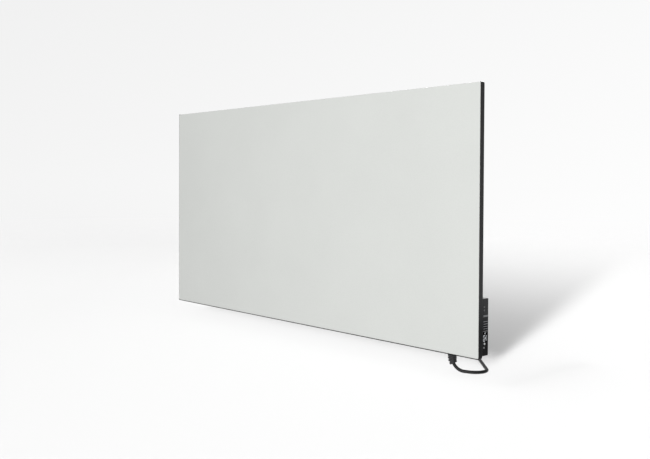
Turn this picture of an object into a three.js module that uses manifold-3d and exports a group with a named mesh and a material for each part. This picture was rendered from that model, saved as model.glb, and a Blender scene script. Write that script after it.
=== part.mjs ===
// Wall-hung ceramic panel heater: a porcelain-stoneware tile in a folded steel tray,
// a heating ribbon and insulation behind it, hanger plates on the back, and a
// thermostat box at the lower right of the back with its mains lead.
// Millimetres, +Z up. The front face looks along -Y.
// Geometry is written in panel coordinates (origin: bottom centre of the front face,
// X right, Y back, Z up); the outer group moves it so that the origin is the point on
// the wall plane midway between the two hanging screws.

import * as THREE from 'three';
import { mergeVertices } from 'three/addons/utils/BufferGeometryUtils.js';
import Module from 'manifold-3d';

const wasm = await Module();
wasm.setup();

// ---------------------------------------------------------------- driving dimensions
const W = 1200; // panel width
const H = 600; // panel height
const TILE_T = 6; // tile thickness
const DEPTH = 16.5; // casing depth, front face to back sheet
const SHEET = 0.8; // steel sheet of the casing
const R_EDGE = 4.5; // rear edge radius, sides and top
const R_FOOT = 8; // rear edge radius, bottom
const RIM_Y = 0.4; // the rim stands this far behind the tile's face
const WALL_Y = 38; // wall plane behind the front face
const HANG_Z = 530; // height of the hanging screws above the bottom edge
const HANG_X = 400; // hanger plates, left and right of the middle
const GAP = 0.3;

const BOX_X0 = 486; // thermostat box
const BOX_X1 = 595.4;
const BOX_Z0 = 6;
const BOX_Z1 = 131;
const BOX_Y0 = 16.8;
const BOX_Y1 = 35.6;
const FASCIA_X0 = 595.7;
const FASCIA_X1 = 598.2;

const GLAND_X = 507; // strain relief, under the box
const GLAND_Y = 26.2;
const CORD_D = 7.5;
const FLOOR_Z = -44.5; // the surface that the cord lies on
const CORD_Z = FLOOR_Z + CORD_D / 2;
const HANK_X = 302; // middle of the hank
const HANK_Y = 207.5;
const HANK_HALF = 78; // half the straight length of a run
const PRESS = 0.6; // button travel

// ---------------------------------------------------------------- helpers
const V = (x, y, z) => new THREE.Vector3(x, y, z);

function volume(g) {
  const p = g.attributes.position;
  const ix = g.index;
  const a = V(0, 0, 0), b = V(0, 0, 0), c = V(0, 0, 0);
  let sum = 0;
  for (let i = 0; i < ix.count; i += 3) {
    a.fromBufferAttribute(p, ix.getX(i));
    b.fromBufferAttribute(p, ix.getX(i + 1));
    c.fromBufferAttribute(p, ix.getX(i + 2));
    sum += a.dot(b.cross(c));
  }
  return sum / 6;
}

// shared vertices merged, faces pointing out
function closed(geo) {
  let g = geo.clone();
  for (const name of Object.keys(g.attributes)) if (name !== 'position') g.deleteAttribute(name);
  g = mergeVertices(g, 1e-4);
  const ix = Array.from(g.index.array);
  const kept = [];
  for (let i = 0; i < ix.length; i += 3) {
    const [a, b, c] = [ix[i], ix[i + 1], ix[i + 2]];
    if (a !== b && b !== c && a !== c) kept.push(a, b, c);
  }
  g.setIndex(kept);
  if (volume(g) < 0) {
    for (let i = 0; i < kept.length; i += 3) [kept[i + 1], kept[i + 2]] = [kept[i + 2], kept[i + 1]];
    g.setIndex(kept);
  }
  return g;
}

function solid(geo) {
  const g = closed(geo);
  return new wasm.Manifold(new wasm.Mesh({
    numProp: 3,
    vertProperties: new Float32Array(g.attributes.position.array),
    triVerts: new Uint32Array(g.index.array),
  }));
}

function geometry(man) {
  const m = man.getMesh();
  const g = new THREE.BufferGeometry();
  const p = new Float32Array(m.numVert * 3);
  for (let i = 0; i < m.numVert; i++)
    for (let k = 0; k < 3; k++) p[i * 3 + k] = m.vertProperties[i * m.numProp + k];
  g.setAttribute('position', new THREE.BufferAttribute(p, 3));
  g.setIndex(new THREE.BufferAttribute(new Uint32Array(m.triVerts), 1));
  return g;
}

const cut = (a, ...tools) => tools.reduce((s, t) => s.subtract(t), a);
const join = (a, ...more) => more.reduce((s, t) => s.add(t), a);

const boxGeo = (x0, x1, y0, y1, z0, z1) =>
  new THREE.BoxGeometry(x1 - x0, y1 - y0, z1 - z0).translate((x0 + x1) / 2, (y0 + y1) / 2, (z0 + z1) / 2);
const box = (...a) => solid(boxGeo(...a));

// extrusions: the shape's two axes are (y,z) along X, (x,z) along Y, (x,y) along Z
const ALONG = {
  X: new THREE.Matrix4().makeBasis(V(0, 1, 0), V(0, 0, 1), V(1, 0, 0)),
  Y: new THREE.Matrix4().makeBasis(V(1, 0, 0), V(0, 0, 1), V(0, -1, 0)),
  Z: new THREE.Matrix4(),
};
function extrude(shape, axis, from, to, segments = 4) {
  const g = new THREE.ExtrudeGeometry(shape, { depth: to - from, bevelEnabled: false, curveSegments: segments, steps: 1 });
  g.applyMatrix4(ALONG[axis]);
  if (axis === 'X') g.translate(from, 0, 0);
  if (axis === 'Y') g.translate(0, to, 0);
  if (axis === 'Z') g.translate(0, 0, from);
  return closed(g);
}
const prism = (shape, axis, from, to, segments) => solid(extrude(shape, axis, from, to, segments));

function roundRect(a0, a1, b0, b1, r) {
  const s = new THREE.Shape();
  s.moveTo(a0 + r, b0);
  s.lineTo(a1 - r, b0);
  s.absarc(a1 - r, b0 + r, r, -Math.PI / 2, 0, false);
  s.lineTo(a1, b1 - r);
  s.absarc(a1 - r, b1 - r, r, 0, Math.PI / 2, false);
  s.lineTo(a0 + r, b1);
  s.absarc(a0 + r, b1 - r, r, Math.PI / 2, Math.PI, false);
  s.lineTo(a0, b0 + r);
  s.absarc(a0 + r, b0 + r, r, Math.PI, 1.5 * Math.PI, false);
  return s;
}

// a horizontal or vertical slot with round ends
function slot(a, b, long, wide, upright = false) {
  const s = new THREE.Shape();
  const h = (long - wide) / 2, r = wide / 2;
  if (upright) {
    s.absarc(a, b + h, r, 0, Math.PI, false);
    s.absarc(a, b - h, r, Math.PI, 2 * Math.PI, false);
  } else {
    s.absarc(a + h, b, r, -Math.PI / 2, Math.PI / 2, false);
    s.absarc(a - h, b, r, Math.PI / 2, 1.5 * Math.PI, false);
  }
  s.closePath();
  return s;
}

// turned part: profile of [radius, distance along the axis] pairs
const TURN = {
  X: new THREE.Matrix4().makeBasis(V(0, -1, 0), V(1, 0, 0), V(0, 0, 1)),
  Y: new THREE.Matrix4(),
  Z: new THREE.Matrix4().makeBasis(V(1, 0, 0), V(0, 0, 1), V(0, -1, 0)),
};
function turned(profile, axis, at, sides = 16) {
  const g = new THREE.LatheGeometry(profile.map(([r, t]) => new THREE.Vector2(r, t)), sides);
  g.applyMatrix4(TURN[axis]).translate(...at);
  return closed(g);
}
const rod = (axis, at, r, from, to, sides = 16) =>
  solid(turned([[0, from], [r, from], [r, to], [0, to]], axis, at, sides));

// closed skin over a row of rings with the same number of points each
function loft(rings) {
  const n = rings[0].length;
  const pos = [], idx = [];
  for (const ring of rings) for (const q of ring) pos.push(q.x, q.y, q.z);
  const middle = (ring) => ring.reduce((s, q) => s.add(q), V(0, 0, 0)).divideScalar(n);
  const first = middle(rings[0]), last = middle(rings[rings.length - 1]);
  const a = pos.length / 3;
  pos.push(first.x, first.y, first.z, last.x, last.y, last.z);
  for (let k = 0; k + 1 < rings.length; k++)
    for (let i = 0; i < n; i++) {
      const j = (i + 1) % n;
      const p = k * n + i, q = k * n + j, r = (k + 1) * n + j, s = (k + 1) * n + i;
      idx.push(p, q, r, p, r, s);
    }
  const top = (rings.length - 1) * n;
  for (let i = 0; i < n; i++) {
    const j = (i + 1) % n;
    idx.push(a, j, i, a + 1, top + i, top + j);
  }
  const g = new THREE.BufferGeometry();
  g.setAttribute('position', new THREE.Float32BufferAttribute(pos, 3));
  g.setIndex(idx);
  return closed(g);
}

// round tube along a smooth line
function tube(points, r, sides, steps) {
  const s = new THREE.Shape();
  for (let i = 0; i < sides; i++) {
    const t = (i / sides) * 2 * Math.PI;
    if (i) s.lineTo(r * Math.cos(t), r * Math.sin(t));
    else s.moveTo(r * Math.cos(t), r * Math.sin(t));
  }
  s.closePath();
  const path = new THREE.CatmullRomCurve3(points.map((q) => V(...q)), false, 'centripetal');
  return closed(new THREE.ExtrudeGeometry(s, { steps, extrudePath: path, bevelEnabled: false }));
}

const heater = new THREE.Group();
heater.position.set(0, -WALL_Y, -HANG_Z);

function piece(name, geo, color, roughness = 0.6, metalness = 0) {
  const g = geo.isBufferGeometry ? geo : geometry(geo);
  const mesh = new THREE.Mesh(g, new THREE.MeshStandardMaterial({ color, roughness, metalness }));
  mesh.name = name;
  heater.add(mesh);
  return mesh;
}

const BLACK = 0x222327, PLASTIC = 0x1a1b1e, STEEL = 0xa9acb0;

// ---------------------------------------------------------------- ceramic tile
{
  // its edges taper a little towards the back; it stands on thin setting blocks, and it was
  // slid in from above, so the tray's top flange stays behind it
  const at = (y, inset) => trayRing(y, SHEET + GAP + inset, SHEET + GAP + 0.8 + inset, 2.2, 0.9 + inset, 3.2);
  piece('ceramic_panel', loft([at(0, 0), at(2.4, 0), at(TILE_T, 1)]), 0xd6d9d5, 0.28);
}

// ---------------------------------------------------------------- casing tray
// One ring of the tray: a rectangle in the XZ plane with small corner radii.
function trayRing(y, side, foot, r, top = side, rTop = r) {
  const x = W / 2 - side, z0 = foot, z1 = H - top;
  const pts = [];
  const corner = (cx, cz, q, t0) => {
    for (let i = 0; i <= 2; i++) {
      const t = t0 + (i / 2) * (Math.PI / 2);
      pts.push(V(cx + q * Math.cos(t), y, cz + q * Math.sin(t)));
    }
  };
  corner(x - r, z0 + r, r, -Math.PI / 2);
  corner(x - rTop, z1 - rTop, rTop, 0);
  corner(-x + rTop, z1 - rTop, rTop, Math.PI / 2);
  corner(-x + r, z0 + r, r, Math.PI);
  return pts;
}
// depth stations: the foot's large radius starts first, the sides' smaller one later
function trayProfile(t) {
  const rs = R_EDGE - t, rf = R_FOOT - t;
  const stations = [DEPTH - R_FOOT, DEPTH - (R_FOOT + R_EDGE) / 2, DEPTH - R_EDGE];
  for (let i = 1; i <= 4; i++) stations.push(DEPTH - R_EDGE + rs * Math.sin((i / 4) * (Math.PI / 2)));
  return stations.map((y) => {
    const ds = Math.max(0, y - (DEPTH - R_EDGE)), df = Math.max(0, y - (DEPTH - R_FOOT));
    return {
      y,
      side: t + rs - Math.sqrt(Math.max(0, rs * rs - ds * ds)),
      foot: t + rf - Math.sqrt(Math.max(0, rf * rf - df * df)),
    };
  });
}
const outer = trayProfile(0), inner = trayProfile(SHEET);
const trayRings = [
  ...outer.slice().reverse().map((s) => trayRing(s.y, s.side, s.foot, 3)),
  trayRing(RIM_Y, 0, 0, 3),
  trayRing(RIM_Y, SHEET, SHEET, 3 - SHEET),
  ...inner.map((s) => trayRing(s.y, s.side, s.foot, 3 - SHEET)),
];
let tray = solid(loft(trayRings));
tray = tray.subtract(box(-597, 597, -1, 6.3, 598, 601)); // the top flange starts behind the tile

const slots = [];
for (let i = 0; i < 14; i++) slots.push([-546 + i * 84, 568]);
for (let i = 0; i < 12; i++) slots.push([-546 + i * 84, 44]);
for (const [x, z] of slots) tray = tray.subtract(prism(slot(x, z, 60, 3.6), 'Y', 14, 18, 2));
// wire hole behind the thermostat box
tray = tray.subtract(prism(slot(493, 70, 18, 7.6, true), 'Y', 14, 18, 3));
// rivet and screw holes
const rivets = [];
for (const sx of [-1, 1]) for (const dx of [-34, 34]) for (const z of [504, 536]) rivets.push([sx * HANG_X + dx, z]);
for (const [x, z] of rivets) tray = tray.subtract(rod('Y', [x, 0, z], 2.1, 14, 18, 8));
for (const sx of [-1, 1]) tray = tray.subtract(rod('Y', [sx * HANG_X, 0, 84], 2.2, 14, 18, 8));
piece('casing_tray', tray, BLACK, 0.55, 0.3);

// ---------------------------------------------------------------- behind the tile
const SEAL_Y0 = TILE_T + GAP, BACK_IN = DEPTH - SHEET;
piece('perimeter_gasket',
  cut(box(-593, 593, SEAL_Y0, BACK_IN - GAP, 14.5, 593), box(-583, 583, 0, 30, 25, 583)), 0x2c2c2e, 0.9);

// heating ribbon: one path, out along the right, back and forth, home along the bottom
const ribbon = [[470, 118], [470, 165], [565, 165], [565, 565], [515, 565], [515, 215], [465, 215], [465, 565], [415, 565]];
{
  let up = false;
  for (let x = 415; x >= -535; x -= 50) {
    ribbon.push([x, up ? 565 : 85]);
    if (x > -535) ribbon.push([x - 50, up ? 565 : 85]);
    up = !up;
  }
  ribbon.push([-568, 565], [-568, 42], [470, 42], [470, 94]);
}
{
  const w = 5;
  let r = null;
  for (let i = 0; i + 1 < ribbon.length; i++) {
    const [x0, z0] = ribbon[i], [x1, z1] = ribbon[i + 1];
    if (x0 === x1 && z0 === z1) continue;
    const first = i === 0, last = i + 2 === ribbon.length;
    const lo = [Math.min(x0, x1) - w, Math.min(z0, z1) - w], hi = [Math.max(x0, x1) + w, Math.max(z0, z1) + w];
    if (first) lo[1] += w;
    if (last) hi[1] -= w;
    const b = box(lo[0], hi[0], 6.3, 6.9, lo[1], hi[1]);
    r = r ? r.add(b) : b;
  }
  piece('heating_conductor', r, 0xb9a48c, 0.4, 0.8);
}

piece('mica_sheet', cut(box(-582, 582, 7.2, 8, 26, 582), box(462, 600, 0, 30, 0, 139.5)), 0xb9a77f, 0.5);
piece('insulation_board',
  cut(box(-582, 582, 8.3, 12.8, 26, 582), box(462, 600, 0, 30, 0, 139.5), box(424, 470, 0, 30, 96, 139.5)), 0xe9e6dc, 0.95);
piece('reflector_foil', cut(box(-582, 582, 13.1, 13.5, 26, 582), box(462, 600, 0, 30, 0, 139.5)), 0xc9ccd0, 0.25, 1);
piece('control_heat_pad', extrude(roundRect(501, 582, 26, 139, 3), 'Y', 6.4, 14.6, 2), 0xd9d4c6, 0.95);

piece('thermal_cutout', join(
  prism(roundRect(432, 452, 104, 112, 1), 'Y', 8.6, 12.2, 1),
  box(452, 457, 10.1, 10.7, 105.5, 107),
  box(452, 457, 10.1, 10.7, 109, 110.5)), 0x2b2b2b, 0.5);
piece('temperature_sensor', turned([[0, 0], [1.4, 0.4], [1.7, 1.4], [1.7, 10], [0, 10]], 'X', [437, 10.6, 126], 12), 0x4a3b22, 0.4);

// ---------------------------------------------------------------- thermostat box
const WALL = 2.2, BASE = 1.6, COVER_Y0 = 32.6;
const bosses = [[492.7, 12.7], [492.7, 124.3], [579, 12.7], [579, 124.3]];
function boxOutline(x0, x1, z0, z1, r) { // round on the left, nearly square beside the fascia
  const s = new THREE.Shape();
  s.moveTo(x0 + r, z0);
  s.lineTo(x1, z0);
  s.lineTo(x1, z1);
  s.lineTo(x0 + r, z1);
  s.absarc(x0 + r, z1 - r, r, Math.PI / 2, Math.PI, false);
  s.lineTo(x0, z0 + r);
  s.absarc(x0 + r, z0 + r, r, Math.PI, 1.5 * Math.PI, false);
  return s;
}
{
  let h = prism(boxOutline(BOX_X0, BOX_X1, BOX_Z0, BOX_Z1, 4), 'Y', BOX_Y0, COVER_Y0 - GAP, 4);
  h = h.subtract(prism(boxOutline(BOX_X0 + WALL, BOX_X1 + 5, BOX_Z0 + WALL, BOX_Z1 - WALL, 1.8), 'Y', BOX_Y0 + BASE, 40, 2));
  for (const [x, z] of bosses) h = h.add(rod('Y', [x, 0, z], 3.5, BOX_Y0 + BASE - 0.4, COVER_Y0 - GAP, 10));
  for (const [x, z] of bosses) h = h.subtract(rod('Y', [x, 0, z], 1.7, 20.5, 40, 8));
  h = h.subtract(rod('Z', [GLAND_X, GLAND_Y, 0], 5.8, 4, 12, 16)); // cord entry
  h = h.subtract(prism(slot(493, 70, 16, 7, true), 'Y', 15, 19, 3)); // wire hole
  for (let i = 0; i < 6; i++) h = h.subtract(box(512 + i * 9, 515.2 + i * 9, 21, 30.5, 128, 134)); // vents on top
  for (let i = 0; i < 5; i++) h = h.subtract(box(526 + i * 9, 529.2 + i * 9, 21, 30.5, 4, 9.5)); // and underneath
  // four feet that carry the power board
  for (const [x, z] of [[503, 48], [503, 112], [570, 30], [570, 112]])
    h = h.add(rod('Y', [x, 0, z], 2.4, BOX_Y0 + BASE - 0.3, 19.5, 6));
  piece('control_housing', h, PLASTIC, 0.6);

  let c = prism(boxOutline(BOX_X0, BOX_X1, BOX_Z0, BOX_Z1, 4), 'Y', COVER_Y0, BOX_Y1, 4);
  for (const [x, z] of bosses) {
    c = c.subtract(rod('Y', [x, 0, z], 1.7, 30, 40, 8));
    c = c.subtract(rod('Y', [x, 0, z], 3.2, BOX_Y1 - 1.5, 40, 12));
  }
  for (let i = 0; i < 7; i++) c = c.subtract(prism(slot(536, 84 + i * 5.4, 40, 2.2), 'Y', 30, 40, 2));
  piece('control_rear_cover', c, PLASTIC, 0.6);
}

// cross-head screw, head out at +Y
function screw(x, z, tip, seat, head, rShank, rHead, cross) {
  let s = solid(turned([[0, tip], [rShank * 0.6, tip], [rShank, tip + 1.2], [rShank, seat], [rHead, seat],
    [rHead, head - 0.5], [rHead * 0.82, head], [0, head]], 'Y', [x, 0, z], 12));
  for (const t of [0, Math.PI / 2]) {
    const b = new THREE.BoxGeometry(cross * 2, 1.6, cross * 0.42).rotateY(t + 0.4).translate(x, head + 0.05, z);
    s = s.subtract(solid(b));
  }
  return s;
}
bosses.forEach(([x, z], i) =>
  piece(`cover_screw_${i + 1}`, screw(x, z, 22.5, BOX_Y1 - 1.2, BOX_Y1 - 0.05, 1.3, 2.75, 1.5), 0x3a3b3f, 0.35, 0.9));

// buttons: [name, y, z]
const buttons = [['up', 21.2, 112.8], ['down', 21.2, 105.6], ['set', 23, 32.4], ['power', 21.2, 24]];
const diamond = (y, z, h) => {
  const s = new THREE.Shape();
  s.moveTo(y + h, z);
  s.lineTo(y, z + h);
  s.lineTo(y - h, z);
  s.lineTo(y, z - h);
  s.closePath();
  return s;
};
const SLOT_ZS = [62.4, 67.6, 72.8, 78];
{
  let f = prism(roundRect(BOX_Y0, BOX_Y1, BOX_Z0, BOX_Z1, 1), 'X', FASCIA_X0, FASCIA_X1, 3);
  for (const z of [...SLOT_ZS.map((v) => v - 2.6), 80.6])
    f = f.add(box(FASCIA_X1 - 0.3, FASCIA_X1 + 0.5, 18.6, 33.2, z - 0.9, z + 0.9));
  for (const z of SLOT_ZS) f = f.subtract(prism(slot(25.9, z, 13.4, 1.8), 'X', 590, 600, 2));
  f = f.subtract(box(590, 600, 17.9, 34, 90.4, 95)); // light bar
  f = f.subtract(prism(roundRect(18.3, 32.5, 36.4, 58.4, 1), 'X', 590, 600, 1)); // display
  for (const [name, y, z] of buttons)
    f = f.subtract(name === 'set' ? prism(diamond(y, z, 3), 'X', 590, 600) : rod('X', [0, y, z], 2.4, 590, 600, 16));
  // snap legs at top and bottom
  f = f.add(box(590.4, 596.2, 23, 29, 8.9, 10.3));
  f = f.add(box(590.4, 596.2, 23, 29, 127, 128.4));
  piece('control_fascia', f, PLASTIC, 0.55);
}
piece('status_light_bar', extrude(roundRect(18.2, 33.7, 90.7, 94.7, 0.4), 'X', FASCIA_X0 + 0.1, FASCIA_X1 + 0.2, 1), 0x8a8c90, 0.35);
piece('display_window', extrude(roundRect(18.6, 32.2, 36.7, 58.1, 0.8), 'X', FASCIA_X0 + 0.1, FASCIA_X1 - 0.15, 1), 0x0c0d10, 0.08);

for (const [name, y, z] of buttons) {
  const cap = name === 'set'
    ? solid(extrude(diamond(y, z, 2.7), 'X', 595.2, FASCIA_X1 + 0.7))
    : solid(turned([[0, 595.2], [2.05, 595.2], [2.05, FASCIA_X1 + 0.35], [1.7, FASCIA_X1 + 0.7], [0, FASCIA_X1 + 0.7]], 'X', [0, y, z], 16));
  const b = join(cap, rod('X', [0, y, z], 2.7, 594.5, 595.35, 12), rod('X', [0, y, z], 1.2, 592.4, 595, 8));
  piece(`button_${name}`, b, name === 'set' ? 0xe8e8e6 : 0x45474b, 0.5);
  piece(`tact_switch_${name}`, join(
    prism(roundRect(y - 2.1, y + 2.1, z - 2.1, z + 2.1, 0.4), 'X', 587.5, 590.9, 1),
    rod('X', [0, y, z], 1.1, 590.5, 591.4, 8)), 0x303236, 0.5, 0.2);
}
piece('display_module', extrude(roundRect(19.4, 31.6, 37.4, 57.4, 0.6), 'X', 587.5, 595.1, 1), 0x16171a, 0.4);
piece('display_board', boxGeo(585.6, 587.2, 18.8, 32, 14, 124), 0x12331f, 0.45);

// power board and what is soldered on it
piece('power_board', boxGeo(499.5, 574, 19.8, 21.4, 22, 118), 0x12331f, 0.45);
piece('relay', prism(roundRect(545, 565, 80, 108, 1), 'Y', 21.7, 31.6, 1), 0x1d4f9c, 0.4);
piece('supply_capacitor', prism(roundRect(514, 534, 86, 104, 1), 'Y', 21.7, 30.8, 1), 0xc9a227, 0.5);
{
  let t = prism(roundRect(503, 530.6, 28, 41, 0.8), 'Y', 21.7, 31.4, 1);
  for (const x of [508.2, 516.8, 525.4]) {
    t = t.subtract(rod('Y', [x, 0, 34.5], 2.6, 27.5, 33, 10)); // screw wells
    t = t.subtract(rod('Z', [x, 26, 0], 1.75, 26, 33, 8)); // wire entries
  }
  piece('terminal_block', t, 0xd8d8d4, 0.6);
}
piece('core_live', tube([[504.4, GLAND_Y, 10.9], [504.4, GLAND_Y, 15], [506.4, 26, 22], [508.2, 26, 27], [508.2, 26, 31.5]], 1.15, 6, 9), 0x6b3d1e, 0.5);
piece('core_neutral', tube([[507, GLAND_Y, 10.9], [507.4, GLAND_Y, 14], [512.6, 26, 19], [516.8, 26, 25], [516.8, 26, 31.5]], 1.15, 6, 9), 0x1f4f9e, 0.5);
piece('core_earth', tube([[509.6, GLAND_Y, 10.9], [510.4, GLAND_Y, 13.4], [518.6, 26, 16.2], [525.4, 26, 23], [525.4, 26, 31.5]], 1.15, 6, 10), 0x6f9e2a, 0.5);
piece('lead_live', tube([[497, 28.5, 50], [494, 26, 58], [493, 21, 63], [492.6, 16, 64.5], [490, 12, 66], [482, 10, 76], [474, 9.4, 90], [470.4, 8.5, 93]], 1.1, 6, 16), 0xc9c4b8, 0.6);
piece('lead_neutral', tube([[497.5, 29, 60.5], [494.6, 26.5, 65], [493.2, 21, 69], [493, 16, 69.8], [491, 12, 72], [487.5, 10.4, 88], [481, 9.6, 108], [471, 8.5, 118.6]], 1.1, 6, 18), 0xc9c4b8, 0.6);
piece('sensor_lead', tube([[497, 29, 82], [494.8, 26.6, 79], [493.6, 21, 76], [493.4, 16, 75.2], [493, 12.6, 78], [492.8, 11.4, 100], [488, 10.8, 116], [476, 10.7, 125], [460, 10.6, 126.2], [447.4, 10.6, 126]], 0.9, 6, 24), 0x2a2a2a, 0.6);

// ---------------------------------------------------------------- strain relief and cord
const HEAD = (18 * Math.PI) / 180; // heading of the cord in plan, measured from +X towards +Y
const hx = Math.cos(HEAD), hy = Math.sin(HEAD);
const R1 = 30, T1 = (27 * Math.PI) / 180; // the relief's own gentle bend
const R2 = 28.4; // the cord's bend below it
const BEND_Z = CORD_Z + R2 * (1 - Math.sin(T1)) + R1 * Math.sin(T1);
// a point of the centre line, s mm below the start of the bend
function drop(s) {
  const l1 = R1 * T1, l2 = R2 * (Math.PI / 2 - T1);
  let u, z, t;
  if (s <= 0) { u = 0; z = BEND_Z - s; t = 0; }
  else if (s <= l1) { t = s / R1; u = R1 * (1 - Math.cos(t)); z = BEND_Z - R1 * Math.sin(t); }
  else {
    t = Math.min(Math.PI / 2, T1 + (s - l1) / R2);
    u = R1 * (1 - Math.cos(T1)) + R2 * (Math.cos(T1) - Math.cos(t));
    z = BEND_Z - R1 * Math.sin(T1) - R2 * (Math.sin(t) - Math.sin(T1));
    if (s > l1 + l2) u += s - l1 - l2;
  }
  return { at: V(GLAND_X + u * hx, GLAND_Y + u * hy, z), tilt: t };
}
const RELIEF_L = R1 * T1;
{
  // ring radii down the relief, with shallow grooves
  const rings = [];
  const ring = (s, r) => {
    const { at, tilt } = drop(s);
    const a = V(hx * Math.cos(tilt), hy * Math.cos(tilt), Math.sin(tilt)); // across, towards the bend
    const b = V(-hy, hx, 0);
    const pts = [];
    for (let i = 0; i < 12; i++) {
      const t = (i / 12) * 2 * Math.PI;
      pts.push(at.clone().addScaledVector(a, r * Math.cos(t)).addScaledVector(b, r * Math.sin(t)));
    }
    rings.push(pts);
  };
  const z = (v) => BEND_Z - v; // path length at height v, above the bend
  ring(z(10.4), 5.6);
  ring(z(8.9), 6.1);
  ring(z(8.5), 6.1);
  ring(z(8.5), 5.4);
  ring(z(5.7), 5.4);
  ring(z(5.7), 9.6);
  ring(z(5.2), 10.1);
  const s0 = z(2.6), s1 = RELIEF_L - 1.2, n = 5;
  ring(s0, 10.1);
  for (let i = 0; i < n; i++) {
    const a = s0 + ((s1 - s0) * i) / n, p = (s1 - s0) / n;
    const r = 10.3 - 1.9 * ((i + 0.5) / n) ** 3.3;
    ring(a + 0.12 * p, r - 1.5);
    ring(a + 0.42 * p, r - 1.5);
    ring(a + 0.54 * p, r);
    ring(a + p, r - 0.15);
  }
  ring(RELIEF_L - 0.4, 8.3);
  ring(RELIEF_L, 7.7);
  piece('strain_relief', loft(rings), 0x17181a, 0.7);
}

// plan of the lying stretch: straight, round to the back, straight, and along the hank
const runPoints = [];
{
  for (let i = 0; i <= 7; i++) {
    const q = drop(RELIEF_L + GAP + (i / 7) * (R2 * (Math.PI / 2 - T1) - GAP)).at;
    runPoints.push([q.x, q.y, Math.max(q.z, CORD_Z)]);
  }
  const u0 = R1 * (1 - Math.cos(T1)) + R2 * Math.cos(T1);
  let x = GLAND_X + u0 * hx, y = GLAND_Y + u0 * hy, a = HEAD;
  const step = (n, length, turn) => {
    for (let i = 0; i < n; i++) {
      const d = length / n, t = turn / n;
      a += t / 2;
      x += d * Math.cos(a);
      y += d * Math.sin(a);
      a += t / 2;
      runPoints.push([x, y, CORD_Z]);
    }
  };
  step(2, 11, 0);
  const turn1 = (118 * Math.PI) / 180;
  step(9, 30 * turn1, turn1);
  const turn2 = Math.PI - HEAD - turn1, yEnd = HANK_Y - 30.2;
  const left = (yEnd - y - 45 * (1 - Math.cos(turn2))) / Math.sin(a);
  step(6, left, 0);
  step(4, 45 * turn2, turn2);
  step(3, x - (HANK_X + HANK_HALF + 22.4), 0);
}
piece('cord_run', tube(runPoints, CORD_D / 2, 10, 40), 0x141416, 0.6);

// the stored length: a hank with round ends and a waist, its tie and its plug
function hankOutline(grow) {
  const s = new THREE.Shape();
  const r = 34.2 + grow, w = 15.6 + grow, n = 5;
  const side = (sx, sy) => {
    for (let i = 0; i <= 2 * n; i++) {
      const u = -HANK_HALF + (i / n) * HANK_HALF;
      const c = Math.cos((Math.PI * u) / (2 * HANK_HALF)) ** 2;
      s.lineTo(HANK_X + sx * u, HANK_Y + sy * (r - (r - w) * c));
    }
  };
  s.moveTo(HANK_X - HANK_HALF, HANK_Y - r);
  side(1, -1);
  s.absarc(HANK_X + HANK_HALF, HANK_Y, r, -Math.PI / 2, Math.PI / 2, false);
  side(-1, 1);
  s.absarc(HANK_X - HANK_HALF, HANK_Y, r, Math.PI / 2, 1.5 * Math.PI, false);
  return s;
}
piece('cord_hank', extrude(hankOutline(0), 'Z', FLOOR_Z + 1.6, FLOOR_Z + 15.6, 8), 0x151517, 0.6);
{
  const z0 = FLOOR_Z + 0.1, z1 = FLOOR_Z + 17.7;
  const t = cut(
    prism(roundRect(HANK_Y - 17.7, HANK_Y + 17.7, z0, z1, 2), 'X', HANK_X - 4, HANK_X + 4, 3),
    box(HANK_X - 9, HANK_X + 9, HANK_Y - 16.6, HANK_Y + 16.6, z0 + 1.1, z1 - 1.1));
  piece('cord_tie', t, 0x101012, 0.8);
}
const PLUG_X = HANK_X - HANK_HALF - 27; // rear end of the plug, where the last run leaves the hank
const PLUG_Y = HANK_Y - 26.4;
const PLUG_Z = FLOOR_Z + 18.9;
{
  let p = solid(turned([
    [0, PLUG_X], [4.6, PLUG_X], [5.1, PLUG_X - 4], [5.6, PLUG_X - 14], [7.2, PLUG_X - 16], [9.6, PLUG_X - 19],
    [11.8, PLUG_X - 24], [13, PLUG_X - 30], [14.6, PLUG_X - 34], [17.4, PLUG_X - 38], [18.7, PLUG_X - 42],
    [18.7, PLUG_X - 55], [18, PLUG_X - 56], [0, PLUG_X - 56]], 'X', [0, PLUG_Y, PLUG_Z], 20));
  for (const sz of [-1, 1])
    p = p.subtract(box(PLUG_X - 58, PLUG_X - 43, PLUG_Y - 2.6, PLUG_Y + 2.6, PLUG_Z + sz * 18.2 - 2, PLUG_Z + sz * 18.2 + 2));
  p = p.subtract(rod('X', [0, PLUG_Y, PLUG_Z + 10], 2.8, PLUG_X - 58, PLUG_X - 41, 10)); // earth pin socket
  piece('plug_body', p, 0x151517, 0.6);
  [['left', 9.5], ['right', -9.5]].forEach(([name, dy]) =>
    piece(`plug_pin_${name}`, turned([[0, PLUG_X - 56.3], [2.4, PLUG_X - 56.3], [2.4, PLUG_X - 73.6], [1.7, PLUG_X - 75.1], [0, PLUG_X - 75.5]],
      'X', [0, PLUG_Y + dy, PLUG_Z], 10), 0xb8bbc0, 0.25, 1));
}

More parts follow.
